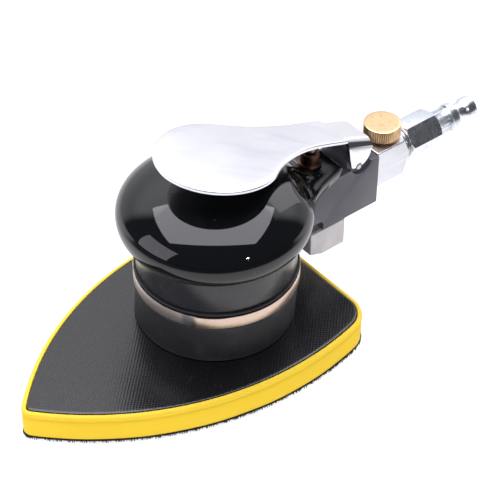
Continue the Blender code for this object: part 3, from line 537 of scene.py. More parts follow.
def as_object(name, bm, matrix=None):
    if matrix is not None:
        bmesh.ops.transform(bm, matrix=matrix, verts=bm.verts)
    bmesh.ops.recalc_face_normals(bm, faces=bm.faces)
    bmesh.ops.scale(bm, vec=(MM, MM, MM), verts=bm.verts)
    mesh = bpy.data.meshes.new(name)
    bm.to_mesh(mesh)
    bm.free()
    made = bpy.data.objects.new(name, mesh)
    bpy.context.scene.collection.objects.link(made)
    return made


def aimed(axis, at):
    """Turns a shape made along Z so that it runs along an axis, and moves it to a place."""
    degrees, about = {"X": (90, "Y"), "Y": (-90, "X"), "Z": (0, "Z")}[axis]
    return Matrix.Translation(at) @ Matrix.Rotation(math.radians(degrees), 4, about)


def loft(name, rings, capped=True, closed=False, matrix=None):
    """Rings of (x, y, z) corners joined one to the next."""
    bm = bmesh.new()
    corners = [[bm.verts.new(place) for place in ring] for ring in rings]
    for first, second in zip(corners, corners[1:]):
        band(bm, first, second)
    if closed:
        band(bm, corners[-1], corners[0])
    elif capped:
        for ring in (corners[0], corners[-1]):
            if len(ring) > 2:
                bm.faces.new(ring)
    return as_object(name, bm, matrix)


def lathe(name, profile, steps=96, axis="Z", at=(0.0, 0.0, 0.0), closed=False, ripple=None):
    """A profile of (radius, height) points turned full circle; ripple changes the radius."""
    rings = []
    for r, h in profile:
        if r < 1e-6:
            rings.append([(0.0, 0.0, h)])
            continue
        turns = [math.tau * i / steps for i in range(steps)]
        rings.append([polar(r + (ripple(r, h, turn) if ripple else 0.0), turn, h) for turn in turns])
    return loft(name, rings, capped=False, closed=closed, matrix=aimed(axis, at))


def slab(name, outline, low, high):
    """A flat outline given thickness along Z."""
    return loft(name, [[(x, y, z) for x, y in outline] for z in (low, high)])


def upright(name, outline, low, high):
    """An X-Z outline given thickness along Y."""
    return loft(name, [[(x, y, z) for x, z in outline] for y in (low, high)])


def rod(name, radius, low, high, axis="Z", at=(0.0, 0.0, 0.0), steps=48):
    profile = [(0.0, high), (radius, high), (radius, low), (0.0, low)]
    return lathe(name, profile, steps, axis, at)


def block(name, x, y, z):
    return slab(name, [(x[0], y[0]), (x[1], y[0]), (x[1], y[1]), (x[0], y[1])], *z)


def boolean(target, operation, *tools):
    """Joins, cuts or intersects a piece with tools, which are used up."""
    for tool in tools:
        modifier = target.modifiers.new(operation.title(), "BOOLEAN")
        modifier.operation = operation
        modifier.solver = "EXACT"
        modifier.object = tool
    return settled(target, *tools)


def settled(made, *spent):
    """Applies a piece's modifiers and removes the tools that they used."""
    bpy.context.view_layer.update()
    shaped = made.evaluated_get(bpy.context.evaluated_depsgraph_get())
    mesh = bpy.data.meshes.new_from_object(shaped)
    made.modifiers.clear()
    made.data = mesh
    for tool in spent:
        bpy.data.objects.remove(tool, do_unlink=True)
    return made


def softened(made, width, segments=2, angle=32):
    """Rounds the sharp edges and evens out the shading of the flats."""
    made.data.shade_smooth()
    bevel = made.modifiers.new("Bevel", "BEVEL")
    bevel.width = width * MM
    bevel.segments = segments
    bevel.limit_method = "ANGLE"
    bevel.angle_limit = math.radians(angle)
    bevel.use_clamp_overlap = True
    normals = made.modifiers.new("Normals", "WEIGHTED_NORMAL")
    normals.keep_sharp = False
    normals.weight = 80
    return settled(made)


def piece(made, body, slot, *nodes, sharp, finish=None):
    """Gives a made shape its finish, its body and the CAD nodes that it stands for."""
    made.data.materials.clear()
    made.data.materials.append(finish or FINISHES[slot])
    made.data.shade_smooth()
    made.data.set_sharp_from_angle(angle=math.radians(sharp))
    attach(made, body)
    if nodes:
        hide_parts(*nodes)
    return made


# Pad ---------------------------------------------------------------------------------------------


def pad_outline(grow):
    """The iron-shaped outline, grown outwards: two long arcs, a tight tip and a square heel."""
    side, tip, heel = SIDE_RADIUS + grow, TIP_RADIUS + grow, HEEL_RADIUS + grow
    x, y = SIDE_CENTRE
    tip_x = x - math.sqrt((side - tip) ** 2 - y**2)
    tip_turn = math.degrees(math.atan2(y, tip_x - x))
    heel_x = HEEL_X + grow - heel
    heel_y = math.sqrt((side - heel) ** 2 - (heel_x - x) ** 2) - y
    heel_turn = math.degrees(math.atan2(heel_y + y, heel_x - x))
    half = arc((tip_x, 0.0), tip, 180, tip_turn, 8)
    half += arc((x, -y), side, tip_turn, heel_turn, 48)[1:]
    half += arc((heel_x, heel_y), heel, heel_turn, 0, 14)[1:]
    half += [(heel_x + heel, heel_y * share) for share in (0.66, 0.33, 0.0)]
    return [(px, py + PAD_CENTRE_Y) for px, py in mirrored_outline(half)]


def pad_ring(grow, z):
    return [(x, y, z) for x, y in pad_outline(grow)]


def make_foam():
    """Foam walls that bulge a little, with a pressed crease level with the plate's underside."""
    levels = [(1.7, 1.6), (1.95, 1.8), (2.0, 3.5), (2.08, 6.0), (2.0, 8.4), (1.8, 9.7), (1.58, 10.2)]
    levels += [(1.84, 10.7), (2.05, 11.5), (1.98, 12.1), (1.75, 12.5), (1.35, 12.78), (0.8, 12.9)]
    levels += [(0.4, 12.85), (0.28, 12.6), (0.28, 10.1)]
    rim = 11.0
    foam = loft("foam_block", [pad_ring(grow, z) for grow, z in levels])
    for corner in foam.data.vertices:
        x, y, z = (value / MM for value in corner.co)
        if z < rim:
            wave = math.sin(0.31 * x + 0.13 * y) + 0.6 * math.sin(0.11 * x - 0.37 * y + 1.0)
            corner.co += Vector((-x, -y, 0.0)).normalized() * (0.05 + 0.04 * wave) * MM
    piece(foam, "pad", "yellow_foam", "pad_foam", sharp=50)


def make_hook_layer():
    """A thin backing with a fringe of fine hooks hanging all round its edge."""
    levels = [(1.4, 0.45), (1.8, 0.6), (1.95, 0.9), (1.95, 1.45), (1.8, 1.55)]
    backing = loft("hook_backing", [pad_ring(grow, z) for grow, z in levels])
    piece(backing, "pad", "hook_fabric", "hook_facing", sharp=40)
    rng = random.Random(7)
    bm = bmesh.new()
    for grow in HOOK_ROWS:
        ring = [Vector((x, y)) for x, y in pad_outline(grow)]
        for start, end in zip(ring, ring[1:] + ring[:1]):
            count = max(1, round((end - start).length / HOOK_PITCH))
            outward = Vector((end.y - start.y, start.x - end.x)).normalized()
            if outward.dot(start - Vector((0.0, PAD_CENTRE_Y))) < 0:
                outward.negate()
            for i in range(count):
                root = start.lerp(end, (i + rng.random()) / count)
                lean = outward * rng.uniform(-0.25, 0.2)
                tuft = math.sin(1.9 * root.x + 0.7 * root.y) + math.sin(1.3 * root.y - 0.8 * root.x)
                foot = max(0.0, 0.15 - 0.3 * tuft + rng.uniform(-0.35, 0.35))
                tip = root + lean
                add_hook(bm, root, tip, min(foot, HOOK_TIP_HIGHEST), rng.uniform(0.16, 0.26))
    hooks = as_object("hook_fringe", bm)
    piece(hooks, "pad", "hook_fabric", sharp=60)


def add_hook(bm, root, tip, foot, girth):
    """One short bristle: a three-sided spike from the backing down to its foot."""
    ends = []
    for at, z, radius in ((root, HOOK_TOP, girth), (tip, foot, 0.6 * girth)):
        corners = [Vector(polar(radius, math.tau * k / 3, z)) for k in range(3)]
        ends.append([bm.verts.new(corner + at.to_3d()) for corner in corners])
    band(bm, *ends)
    for end in ends:
        bm.faces.new(end)


def make_plate():
    """A flat board with an eased upper edge."""
    levels = [(-0.2, 10.4), (0.0, 10.55), (0.0, 12.72), (-0.12, 12.97), (-0.45, 13.1), (-1.2, 13.1)]
    plate = loft("base_plate", [pad_ring(grow, z) for grow, z in levels])
    piece(plate, "pad", "fibre_board", "pad_plate", sharp=40)


# Motor housing -----------------------------------------------------------------------------------


def make_housing():
    """The barrel with its handle block, and the holes that the other pieces sit in."""
    front, back = HANDLE_X
    profile = [(0.0, 74.3), (15.0, 74.3), (27.0, 68.3), (BODY_RADIUS, 61.0), (BODY_RADIUS, SHOULDER_Z)]
    profile += [(28.3, SHOULDER_Z), (28.3, BODY_BOTTOM), (22.3, BODY_BOTTOM), (22.3, 66.7)]
    profile += [(13.6, 66.7), (13.6, 72.6), (0.0, 72.6)]
    shell = lathe("motor_case", eased(profile, 0.5, 2), 160)
    side = [
        (front, SHOULDER_Z + 0.1),
        *reversed(arc((43.2, SHOULDER_Z - 1.9), 2.0, 0, 90, 8)),
        (45.2, HANDLE_BOTTOM),
        (back, HANDLE_BOTTOM),
        (back, HANDLE_TOP),
        (front, HANDLE_TOP),
    ]
    handle = upright("handle", side, -HANDLE_HALF_WIDTH, HANDLE_HALF_WIDTH)
    lug = block("lug", (57.5, 69.0), (-7.4, 7.4), (52.0, 60.5))
    boolean(handle, "UNION", lug)
    scallops = [
        rod(f"scallop_{low}", 5.4, low, high, "Y", (63.7, 0.0, 58.3), 64)
        for low, high in ((-12.0, -7.6), (7.6, 12.0))
    ]
    boolean(
        handle,
        "DIFFERENCE",
        *scallops,
        rod("spigot_bore", 5.5, 62.2, 76.0, "X", INLET_AXIS),
        rod("pin_hole", 1.4, -12.0, 12.0, "Y", (PIN_X, 0.0, PIN_Z), 24),
        rod("chamber", 4.2, 37.0, 60.0, at=(VALVE_X, 0.0, 0.0)),
        rod("screw_hole", 1.6, 32.0, 40.0, at=(SILENCER_SCREW_X, 0.0, 0.0), steps=24),
    )
    softened(handle, 0.45, 3)
    boolean(shell, "UNION", handle)
    piece(shell, "housing", "black_casting", "motor_housing", sharp=30)


def make_boot():
    """A straight skirt with a rolled lip and a seat for the strap; its foot follows the crank."""
    outer = [(30.2, 38.2), (31.0, 38.15), (31.2, 37.85), (31.2, 37.4), (31.0, 37.15), (30.85, 37.0)]
    outer += [(30.6, 36.4), (30.6, 32.2), (30.4, 31.6), (30.45, 31.3), (30.75, 30.9)]
    outer += [(30.82, BODY_BOTTOM)]
    skirt = [i / 28 for i in range(1, 28)]
    outer += [(30.8 + 0.05 * math.sin(math.pi * s), mix(BODY_BOTTOM, 14.2, s)) for s in skirt]
    outer += [(30.8, 14.2), (30.9, 13.7), (30.7, 13.45), (22.0, 13.45), (22.0, 15.3), (28.6, 15.3)]
    outer += [(28.6, mix(15.3, BODY_BOTTOM, i / 20)) for i in range(1, 21)] + [(28.6, 38.1)]
    boot = lathe("gaiter", outer, 128, closed=True)
    for corner in boot.data.vertices:
        share = (BODY_BOTTOM * MM - corner.co.z) / ((BODY_BOTTOM - 15.4) * MM)
        corner.co.y += THROW * MM * min(max(share, 0.0), 1.0)
    boot.data.materials.append(FINISHES["rubber"])
    boot.data.shade_smooth()
    boot.data.set_sharp_from_angle(angle=math.radians(40))
    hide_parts("rubber_boot")
    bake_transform(boot)


def make_strap():
    """A spring band whose end laps over its start."""
    low, high = STRAP_Z
    sections = []
    steps = 150
    for i in range(steps + 1):
        along = (360.0 + LAP) * i / steps
        turn = math.radians(LAP_EDGE + LAP - along)
        lift = LAP_LIFT * min(max((along - 350.0) / 10.0, 0.0), 1.0)
        burr = 0.12 * math.sin(0.37 * along) * math.sin(0.11 * along + 0.6)
        inner, top = STRAP_INNER + lift, high + 0.1 * burr
        outer = inner + STRAP_THICKNESS
        ring = eased([(inner, low), (outer, low), (outer, top), (inner, top)], 0.12, 2, True)
        sections.append([polar(r, turn, z) for r, z in ring])
    strap = loft("spring_strap", sections)
    piece(strap, "housing", "steel", "boot_clamp", finish=strap_steel(), sharp=40)


# Palm grip ---------------------------------------------------------------------------------------


def dome_point(turn):
    """A point of the dome's section, from 90 degrees at the crown to 0 at its widest."""
    turn = math.radians(turn)
    out, up = (max(f(turn), 0.0) ** (2.0 / GRIP_POWER) for f in (math.cos, math.sin))
    return (GRIP_RADIUS * out, GRIP_WIDEST_Z + (GRIP_TOP - GRIP_WIDEST_Z) * up)


def crown_section():
    """The part of the section that dome and tail share."""
    return [dome_point(mix(90.0, SHARED_TURN, i / SHARED_STEPS)) for i in range(SHARED_STEPS + 1)]


def dome_section():
    """The dome's section from the crown to the foot, which is rolled in to the lip."""
    points = crown_section()
    points += [dome_point(mix(SHARED_TURN, 0.0, i / 18)) for i in range(1, 19)]
    turns = [math.radians(9.0 * i) for i in range(1, 11)]
    width, drop = GRIP_RADIUS - GRIP_LIP, GRIP_WIDEST_Z - GRIP_BOTTOM
    points += [(GRIP_LIP + width * math.cos(t), GRIP_WIDEST_Z - drop * math.sin(t)) for t in turns]
    return points


def tail_section(reach):
    """The section down the middle of the tail: dome, a hollow sweep, the flat and its edge."""
    points = crown_section()
    start = Vector(points[-1])
    along = (Vector(dome_point(SHARED_TURN - 1.0)) - start).normalized()
    flat = Vector((TAIL_FLAT_R, TAIL_Z))
    pull = 9.0
    handles = [start, start + along * pull, flat - Vector((pull, 0.0)), flat]
    for i in range(1, 13):
        t = i / 12
        weights = ((1 - t) ** 3, 3 * t * (1 - t) ** 2, 3 * t * t * (1 - t), t**3)
        points.append(tuple(sum((h * w for h, w in zip(handles, weights)), Vector((0.0, 0.0)))))
    edge_r, edge_z = reach - TAIL_EDGE, TAIL_Z - TAIL_EDGE
    points += [(mix(TAIL_FLAT_R, edge_r, i / 3), TAIL_Z) for i in range(1, 4)]
    points += arc((edge_r, edge_z), TAIL_EDGE, 90, 0, 8)[1:]
    points += [(reach - 0.15 * i, mix(edge_z, TAIL_FOOT_Z, i / 5)) for i in range(1, 6)]
    return points


def grip_reach(turn):
    """How far the grip's plan reaches from the dome's centre, in a direction from the tail."""
    turn = abs(turn)
    centre_y = TAIL_HALF_WIDTH + TAIL_FILLET
    centre_x = math.sqrt((GRIP_RADIUS + TAIL_FILLET) ** 2 - centre_y**2)
    if turn >= math.atan2(centre_y, centre_x):
        return GRIP_RADIUS
    end = (TAIL_END_X - GRIP_X) / math.cos(turn)
    if turn > math.atan2(TAIL_HALF_WIDTH, centre_x):
        middle = centre_x * math.cos(turn) + centre_y * math.sin(turn)
        side = middle - math.sqrt(middle**2 - centre_x**2 - centre_y**2 + TAIL_FILLET**2)
    else:
        side = TAIL_HALF_WIDTH / max(math.sin(turn), 0.02)
    sharpness = 26.0
    return (side**-sharpness + end**-sharpness) ** (-1.0 / sharpness)


def grip_lean(turn):
    """How far the section has gone over from the dome's to the tail's, in a direction."""
    start, end = TAIL_SWEEP
    turn = math.degrees(math.atan2(abs(math.sin(turn)), math.cos(turn)))
    share = min(max((start - turn) / (start - end), 0.0), 1.0)
    return share * share * (3.0 - 2.0 * share)


def grip_directions():
    """Directions round the dome, closer together over the tail."""
    half = [0.0]
    for end, steps in ((8.0, 8), (20.0, 44), (52.0, 44), (180.0, 58)):
        start = half[-1]
        half += [mix(start, end, i / steps) for i in range(1, steps + 1)]
    return [math.radians(d) for d in half] + [math.radians(-d) for d in reversed(half[1:-1])]


def grip_point(dome, tail, inner, turn):
    """A point between the dome's section and the tail's, in a direction; both start at inner."""
    lean = grip_lean(turn)
    if lean <= 0.0:
        return dome
    longest = TAIL_END_X - GRIP_X
    share = (grip_reach(turn) - GRIP_RADIUS) / (longest - GRIP_RADIUS)
    reach = mix(GRIP_RADIUS, longest, share) - inner
    on_dome, on_tail = (dome[0] - inner) / (GRIP_RADIUS - inner), (tail[0] - inner) / (longest - inner)
    return inner + reach * mix(on_dome, on_tail, lean), mix(dome[1], tail[1], lean)


def make_grip():
    """The palm dome with its tail, hollow over the barrel."""
    dome, tail = dome_section(), tail_section(TAIL_END_X - GRIP_X)
    directions = grip_directions()
    inner = dome[SHARED_STEPS][0]
    rings = [[(GRIP_X, 0.0, GRIP_TOP)]]
    for index in range(1, len(dome)):
        ring = []
        for turn in directions:
            r, z = dome[index]
            if index > SHARED_STEPS:
                r, z = grip_point(dome[index], tail[index], inner, turn)
            ring.append((GRIP_X + r * math.cos(turn), r * math.sin(turn), z))
        rings.append(ring)
    rings.append([polar(GRIP_BORE, turn, corner[2]) for turn, corner in zip(directions, rings[-1])])
    for radius, height in ((GRIP_BORE, 61.2), (27.3, 68.7), (15.2, GRIP_CEILING)):
        rings.append([polar(radius, turn, height) for turn in directions])
    rings.append([(0.0, 0.0, GRIP_CEILING)])
    grip = loft("palm_cover", rings, capped=False)
    boolean(grip, "DIFFERENCE", rod("screw_recess", 2.8, 73.4, 80.0, at=(GRIP_SCREW_X, 0.0, 0.0)))
    piece(grip, "housing", "gloss_black", "palm_grip", sharp=38)


# Fasteners ---------------------------------------------------------------------------------------


def socket_screw(name, node, place, head, head_height, length, flip=False):
    """A screw with a rounded head and a hexagon socket, placed by the middle of its head."""
    shank, socket, deep = 1.3, 0.48 * head, 0.7 * head_height
    profile = [(0.0, 0.0), (head, 0.0), (head, -head_height), (shank, -head_height)]
    profile += [(shank, -length), (0.0, -length)]
    screw = lathe(name, eased(profile, 0.35, 3), 40)
    boolean(screw, "DIFFERENCE", rod("key", socket, -deep, 1.0, steps=6))
    turn = Matrix.Rotation(math.pi if flip else 0.0, 4, "X")
    screw.data.transform(Matrix.Translation(Vector(place) * MM) @ turn)
    piece(screw, "housing", "steel", node, sharp=35)


def make_fasteners():
    socket_screw("cover_screw", "grip_screw", (GRIP_SCREW_X, 0.0, 75.0), 2.5, 1.3, 6.8)
    under = (SILENCER_SCREW_X, 0.0, 20.0)
    socket_screw("silencer_screw", "muffler_screw", under, 2.6, 1.6, 19.4, flip=True)
    ends = [(0.0, 9.7), (1.0, 9.7), (1.2, 9.45), (1.2, -9.45), (1.0, -9.7), (0.0, -9.7)]
    pin = lathe("pivot_pin", ends, 40, "Y", (PIN_X, 0.0, PIN_Z))
    piece(pin, "housing", "steel", "lever_pin", sharp=35)


# Throttle ----------------------------------------------------------------------------------------


def lever_top(x):
    """Height of the sheet's top face."""
    run = x - (PADDLE_X - PADDLE_RADIUS)
    return 89.4 - 0.1647 * run - 0.001724 * run * (x - 20.0)


def ear_foot(x):
    """Height of the ear's lower edge: a taper down to a hook over the pin, and up again behind."""
    corners = [(56.3, 69.0), (56.9, 64.0), (58.0, 58.4), (58.8, 57.4), (60.2, 57.2)]
    round_pin = (2.6, 2.1, 1.57, 1.05, 0.5)
    corners += [(PIN_X + 1.5 * math.cos(a), PIN_Z + 1.5 * math.sin(a)) for a in round_pin]
    corners += [(63.2, 57.2), (64.4, 57.5), (66.2, 59.0), (67.3, 60.8), (68.5, 66.3)]
    for (x0, z0), (x1, z1) in zip(corners, corners[1:]):
        if x <= x1:
            return mix(z0, z1, (x - x0) / (x1 - x0))
    return corners[-1][1]


def lever_half_width(x):
    """The round paddle, the fillet behind it and the straight waist."""
    centre_y = LEVER_WAIST + LEVER_FILLET
    turn = math.atan2(centre_y, LEVER_FILLET_X - PADDLE_X)
    if x < PADDLE_X + PADDLE_RADIUS * math.cos(turn):
        return math.sqrt(max(PADDLE_RADIUS**2 - (x - PADDLE_X) ** 2, 0.0))
    if x < LEVER_FILLET_X:
        return centre_y - math.sqrt(LEVER_FILLET**2 - (x - LEVER_FILLET_X) ** 2)
    return LEVER_WAIST


def bevel(centre, reach):
    """A bend that runs nearly straight across its corner, from the top face down to the side."""
    points = []
    for i in range(7):
        turn = math.radians(90.0 - 15.0 * i)
        out, up = (max(f(turn), 0.0) ** (2.0 / BEND_POWER) for f in (math.cos, math.sin))
        points.append((centre[0] + reach * out, centre[1] + reach * up))
    return points


def lever_section(x, eared):
    """Half of the sheet's section, as (y, height below the top), from the middle of the top face
    round the edge, or down the ear and back, to the middle of the under face."""
    thick = LEVER_THICKNESS
    if eared:
        side, hip = EAR_OUTER_Y - EAR_BEND, -EAR_BEND
        foot = min(ear_foot(x) - lever_top(x), hip - 0.1)
        ease = 0.2
        inner_y = EAR_OUTER_Y - thick
        upper = bevel((side, hip), EAR_BEND)
        drop = [(EAR_OUTER_Y, mix(hip, foot + ease, i / 2)) for i in (1, 2)]
        drop += [(EAR_OUTER_Y - ease, foot), (inner_y + ease, foot)]
        drop += [(inner_y, mix(foot + ease, hip, i / 2)) for i in (0, 1)]
        lower = list(reversed(bevel((side, hip), EAR_BEND - thick)))
    else:
        half = max(lever_half_width(x), 0.05)
        edge = min(LEVER_EDGE, half)
        side = half - edge
        upper = arc((side, -edge), edge, 90, 0, 6)
        lower = arc((side, -thick + edge), edge, 0, -90, 6)
        drop = [(half, mix(upper[-1][1], lower[0][1], i / 7)) for i in range(1, 7)]
    across = [(side * i / 6, 0.0) for i in range(6)]
    back = [(side * (1 - i / 6), -thick) for i in range(1, 7)]
    return across + upper + drop + lower + back


def lever_stations():
    """Where the sheet's sections stand from the paddle's front to the ears."""
    stations = [PADDLE_X - PADDLE_RADIUS + 0.0005]
    stations += [PADDLE_X - PADDLE_RADIUS * math.cos(math.radians(a)) for a in range(1, 118, 3)]
    start = stations[-1]
    stations += [mix(start, LEVER_FILLET_X, i / 22) for i in range(1, 23)]
    stations += [mix(LEVER_FILLET_X, EAR_X[0], i / 6) for i in range(1, 7)]
    return stations


def make_lever():
    """A bent sheet: a paddle over the dome, a waist, and two ears that hook over the pin."""
    rings = []
    ears = [EAR_X[0] + 0.02, 56.6, 56.9, 57.3, 57.7, 58.0, 58.4, 58.8, 59.5, 60.2, 60.4, 60.9, 61.3]
    ears += [61.7, 62.1, 62.5, 62.9, 63.2, 63.8, 64.4, 65.0, 65.6, 66.2, 66.8, 67.3, 67.7, 68.1]
    ears += [68.35, EAR_X[1]]
    for x, eared in [(x, False) for x in lever_stations()] + [(x, True) for x in ears]:
        half = lever_section(x, eared)
        top = lever_top(x)
        ring = [(x, y, top + z) for y, z in half]
        ring += [(x, -y, top + z) for y, z in reversed(half[1:-1])]
        rings.append(ring)
    lever = loft("throttle_paddle", rings)
    piece(lever, "lever", "polished_steel", "throttle_lever", finish=lever_steel(), sharp=34)


def make_valve():
    """The guide, and the plunger whose head the lever pushes down."""
    at = (VALVE_X, 0.0, 0.0)
    profile = [(3.7, 67.2), (3.7, 62.4), (4.6, 62.1), (4.6, 61.3), (3.9, 61.3), (3.9, 46.8)]
    profile += [(2.45, 46.8), (2.45, 67.2)]
    bushing = lathe("valve_guide", eased(profile, 0.35, 3, True), 56, at=at, closed=True)
    piece(bushing, "housing", "brass", "valve_bushing", finish=shaded_brown_brass(), sharp=35)
    profile = [(0.0, 72.7), (1.7, 72.5), (2.35, 71.7), (2.35, 67.6), (1.4, 67.6), (1.4, 45.5)]
    profile += [(3.4, 45.5), (3.4, 43.7), (0.0, 43.7)]
    stem = lathe("valve_plunger", eased(profile, 0.3, 3), 40, at=at)
    piece(stem, "valve", "steel", "valve_stem", sharp=35)


def make_spring():
    """A coil of wire wound at an even pitch about the valve's axis."""
    low, high = SPRING_Z
    sections = []
    for i in range(36 * SPRING_TURNS + 1):
        turn, lift = math.tau * i / 36, mix(low, high, i / (36 * SPRING_TURNS))
        wire = arc((SPRING_RADIUS, lift), SPRING_WIRE, 0, 315, 7)
        sections.append([polar(r, turn, z) for r, z in wire])
    coil = loft("valve_spring_coil", sections, matrix=aimed("Z", (VALVE_X, 0.0, 0.0)))
    spring = piece(coil, "housing", "steel", "valve_spring", sharp=40)
    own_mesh(spring)


# Inlet, regulator and plug -----------------------------------------------------------------------


def make_inlet():
    """A square bar turned down at its back, with a spigot in the handle."""
    half, axis_z = 8.1, INLET_AXIS[2]
    bar = block("inlet_body", (73.1, 90.3), (-half, half), (axis_z - half, axis_z + half))
    profile = [(0.0, 90.29), (6.9, 90.29), (12.2, 86.3), (12.2, 70.0), (0.0, 70.0)]
    boolean(bar, "INTERSECT", lathe("inlet_turning", profile, 144, "X", INLET_AXIS))
    softened(bar, 0.4, 3)
    boolean(bar, "UNION", rod("spigot", 5.2, 63.0, 74.0, "X", INLET_AXIS))
    boolean(
        bar,
        "DIFFERENCE",
        rod("spigot_passage", 3.6, 60.0, 75.6, "X", INLET_AXIS),
        rod("inlet_passage", 2.4, 75.0, 88.0, "X", INLET_AXIS),
        rod("regulator_bore", 3.7, 43.2, 60.0, at=(REGULATOR_X, 0.0, 0.0)),
        rod("plug_bore", 5.3, 86.7, 93.0, "X", INLET_AXIS),
    )
    piece(bar, "housing", "aluminium", "inlet_block", sharp=30)


def knurl(r, h, turn):
    """Teeth cut straight down the knob's side."""
    if r < KNOB_RADIUS - 0.05 or not KNURL_Z[0] < h < KNURL_Z[1]:
        return 0.0
    tooth = (turn * KNURL_TEETH / math.tau) % 1.0
    return -KNURL_DEPTH * abs(2 * tooth - 1) ** 1.5


def make_knob():
    """A knurled cap with an eased rim and a hub underneath."""
    r, top = KNOB_RADIUS, KNOB_TOP
    profile = [(0.0, top - 0.06), (3.0, top - 0.03), (6.3, top), (r - 0.45, top - 0.05)]
    profile += [(r - 0.12, top - 0.22), (r - 0.02, top - 0.42), (r, 63.0), (r, 58.6), (r - 0.1, 58.2)]
    profile += [(r - 0.5, 57.9), (5.2, 57.9), (5.2, 57.0), (2.6, 57.0), (2.6, 60.8), (0.0, 60.8)]
    knob = lathe("regulator_cap", profile, KNURL_TEETH * 6, at=(REGULATOR_X, 0.0, 0.0), ripple=knurl)
    piece(knob, "regulator", "brass", "regulator_knob", sharp=42)


def make_plug():
    """A coupler plug: nose, waist, collar and hexagon, and the washer against the inlet block."""
    low, high = HEX_X
    profile = [(4.4, 131.0), (4.9, 130.4), (4.9, 127.0), (4.75, 126.4), (4.3, 125.6), (4.2, 125.0)]
    profile += [(4.2, 122.2), (4.35, 121.5), (5.6, 120.5), (5.85, 120.1), (5.85, 117.4), (5.6, 117.1)]
    profile += [(5.0, 116.9), (5.0, 116.4), (5.3, 116.1), (5.3, 107.0), (5.0, 107.0), (5.0, 87.0)]
    profile += [(2.6, 87.0), (2.6, 130.6)]
    plug = lathe("hose_plug", profile, 96, "X", INLET_AXIS, closed=True)
    turns = [math.radians(60 * i + HEX_SPIN) for i in range(6)]
    rings = [[polar(HEX_CORNER, turn, z) for turn in turns] for z in HEX_X]
    hexagon = loft("hexagon", rings, matrix=aimed("X", INLET_AXIS))
    crown = [(0.0, high), (6.9, high), (7.5, high - 0.25), (8.5, high - 1.0), (8.5, low + 1.0)]
    crown += [(7.5, low + 0.25), (6.9, low), (0.0, low)]
    boolean(hexagon, "INTERSECT", lathe("crown", crown, 96, "X", INLET_AXIS))
    softened(hexagon, 0.16, 2, 25)
    boolean(hexagon, "DIFFERENCE", rod("hex_bore", 4.0, 80.0, 120.0, "X", INLET_AXIS))
    boolean(plug, "UNION", hexagon)
    piece(plug, "housing", "polished_steel", "air_plug", sharp=26)
    seal = [(5.3, 90.6), (6.6, 90.6), (6.8, 90.9), (6.8, 91.6), (6.6, 91.9), (5.3, 91.9)]
    washer = lathe("crush_washer", seal, 72, "X", INLET_AXIS, closed=True)
    piece(washer, "housing", "steel", "plug_seal", sharp=35)


# Silencer box ------------------------------------------------------------------------------------


def muffler_side(inset, top):
    """The box's side outline, inset all round but at the top; its front corner is cut off."""
    front, back, floor = *MUFFLER_X, MUFFLER_BOTTOM
    return [
        (front + inset, top),
        (front + inset, floor + 2.2 + inset),
        (front + 6.1 + inset * 0.3, floor + inset),
        (back - inset, floor + inset),
        (back - inset, top),
    ]


def make_muffler():
    """An open-topped box."""
    wide, wall = HANDLE_HALF_WIDTH, MUFFLER_WALL
    case = upright("silencer_case", muffler_side(0.0, MUFFLER_TOP), -wide, wide)
    softened(case, 0.3, 3)
    slots = [block(f"slot_{z}", (36.0, 42.0), (-5.5, 5.5), (z, z + 1.2)) for z in (26.6, 29.0, 31.4)]
    boolean(
        case,
        "DIFFERENCE",
        upright("silencer_hollow", muffler_side(wall, MUFFLER_TOP + 2.0), wall - wide, wide - wall),
        rod("silencer_hole", 1.6, 18.0, 36.0, at=(SILENCER_SCREW_X, 0.0, 0.0)),
        *slots,
    )
    piece(case, "housing", "grey_plastic", "muffler_housing", sharp=30)


# Carried-over nodes ------------------------------------------------------------------------------


def dress_cad_nodes():
    """Gives each inner piece that stays as it is the finish of its slot."""
    slots = {part["node"]: part["material_slot"] for part in frame["record"]["subparts"]}
    for name, node in frame["nodes"].items():
        node.data.materials.clear()
        node.data.materials.append(FINISHES[slots[name]])


# Studio ------------------------------------------------------------------------------------------


def facing(azimuth, elevation):
    """The direction from the object towards an azimuth and elevation."""
    a, e = math.radians(azimuth), math.radians(elevation)
    return Vector((math.sin(a) * math.cos(e), -math.cos(a) * math.cos(e), math.sin(e)))


def make_camera():
    camera = bpy.data.objects.new("camera", bpy.data.cameras.new("camera"))
    bpy.context.scene.collection.objects.link(camera)
    back = facing(VIEW_AZIMUTH, VIEW_ELEVATION)
    camera.location = (Vector(VIEW_TARGET) + back * VIEW_DISTANCE) * MM
    right = Vector((math.cos(math.radians(VIEW_AZIMUTH)), math.sin(math.radians(VIEW_AZIMUTH)), 0.0))
    up = back.cross(right)
    turn = Matrix((right, up, back)).transposed() @ Matrix.Rotation(math.radians(VIEW_ROLL), 3, "Z")
    camera.rotation_mode = "QUATERNION"
    camera.rotation_quaternion = turn.to_quaternion()
    camera.data.lens = LENS
    camera.data.sensor_width = 36.0
    camera.data.clip_start, camera.data.clip_end = 0.01, 20.0
    bpy.context.scene.camera = camera


def softbox(name, azimuth, elevation, distance, width, height, radiance, spin=None):
    """A rectangular light of a given radiance, placed and sized in metres. It is aimed at the
    dome, or straight down where its spin about the Z axis is given."""
    light = bpy.data.lights.new(name, "AREA")
    light.shape = "RECTANGLE"
    light.size, light.size_y = width, height
    light.energy = radiance * math.pi * width * height
    light.color = LIGHT_COLOUR
    lamp = bpy.data.objects.new(name, light)
    bpy.context.scene.collection.objects.link(lamp)
    out = facing(azimuth, elevation)
    lamp.location = Vector((0.0, 0.0, DOME_HEIGHT * MM)) + out * distance
    if spin is None:
        lamp.rotation_mode = "QUATERNION"
        lamp.rotation_quaternion = out.to_track_quat("Z", "Y")
    else:
        lamp.rotation_euler = (0.0, 0.0, math.radians(spin))
    return lamp


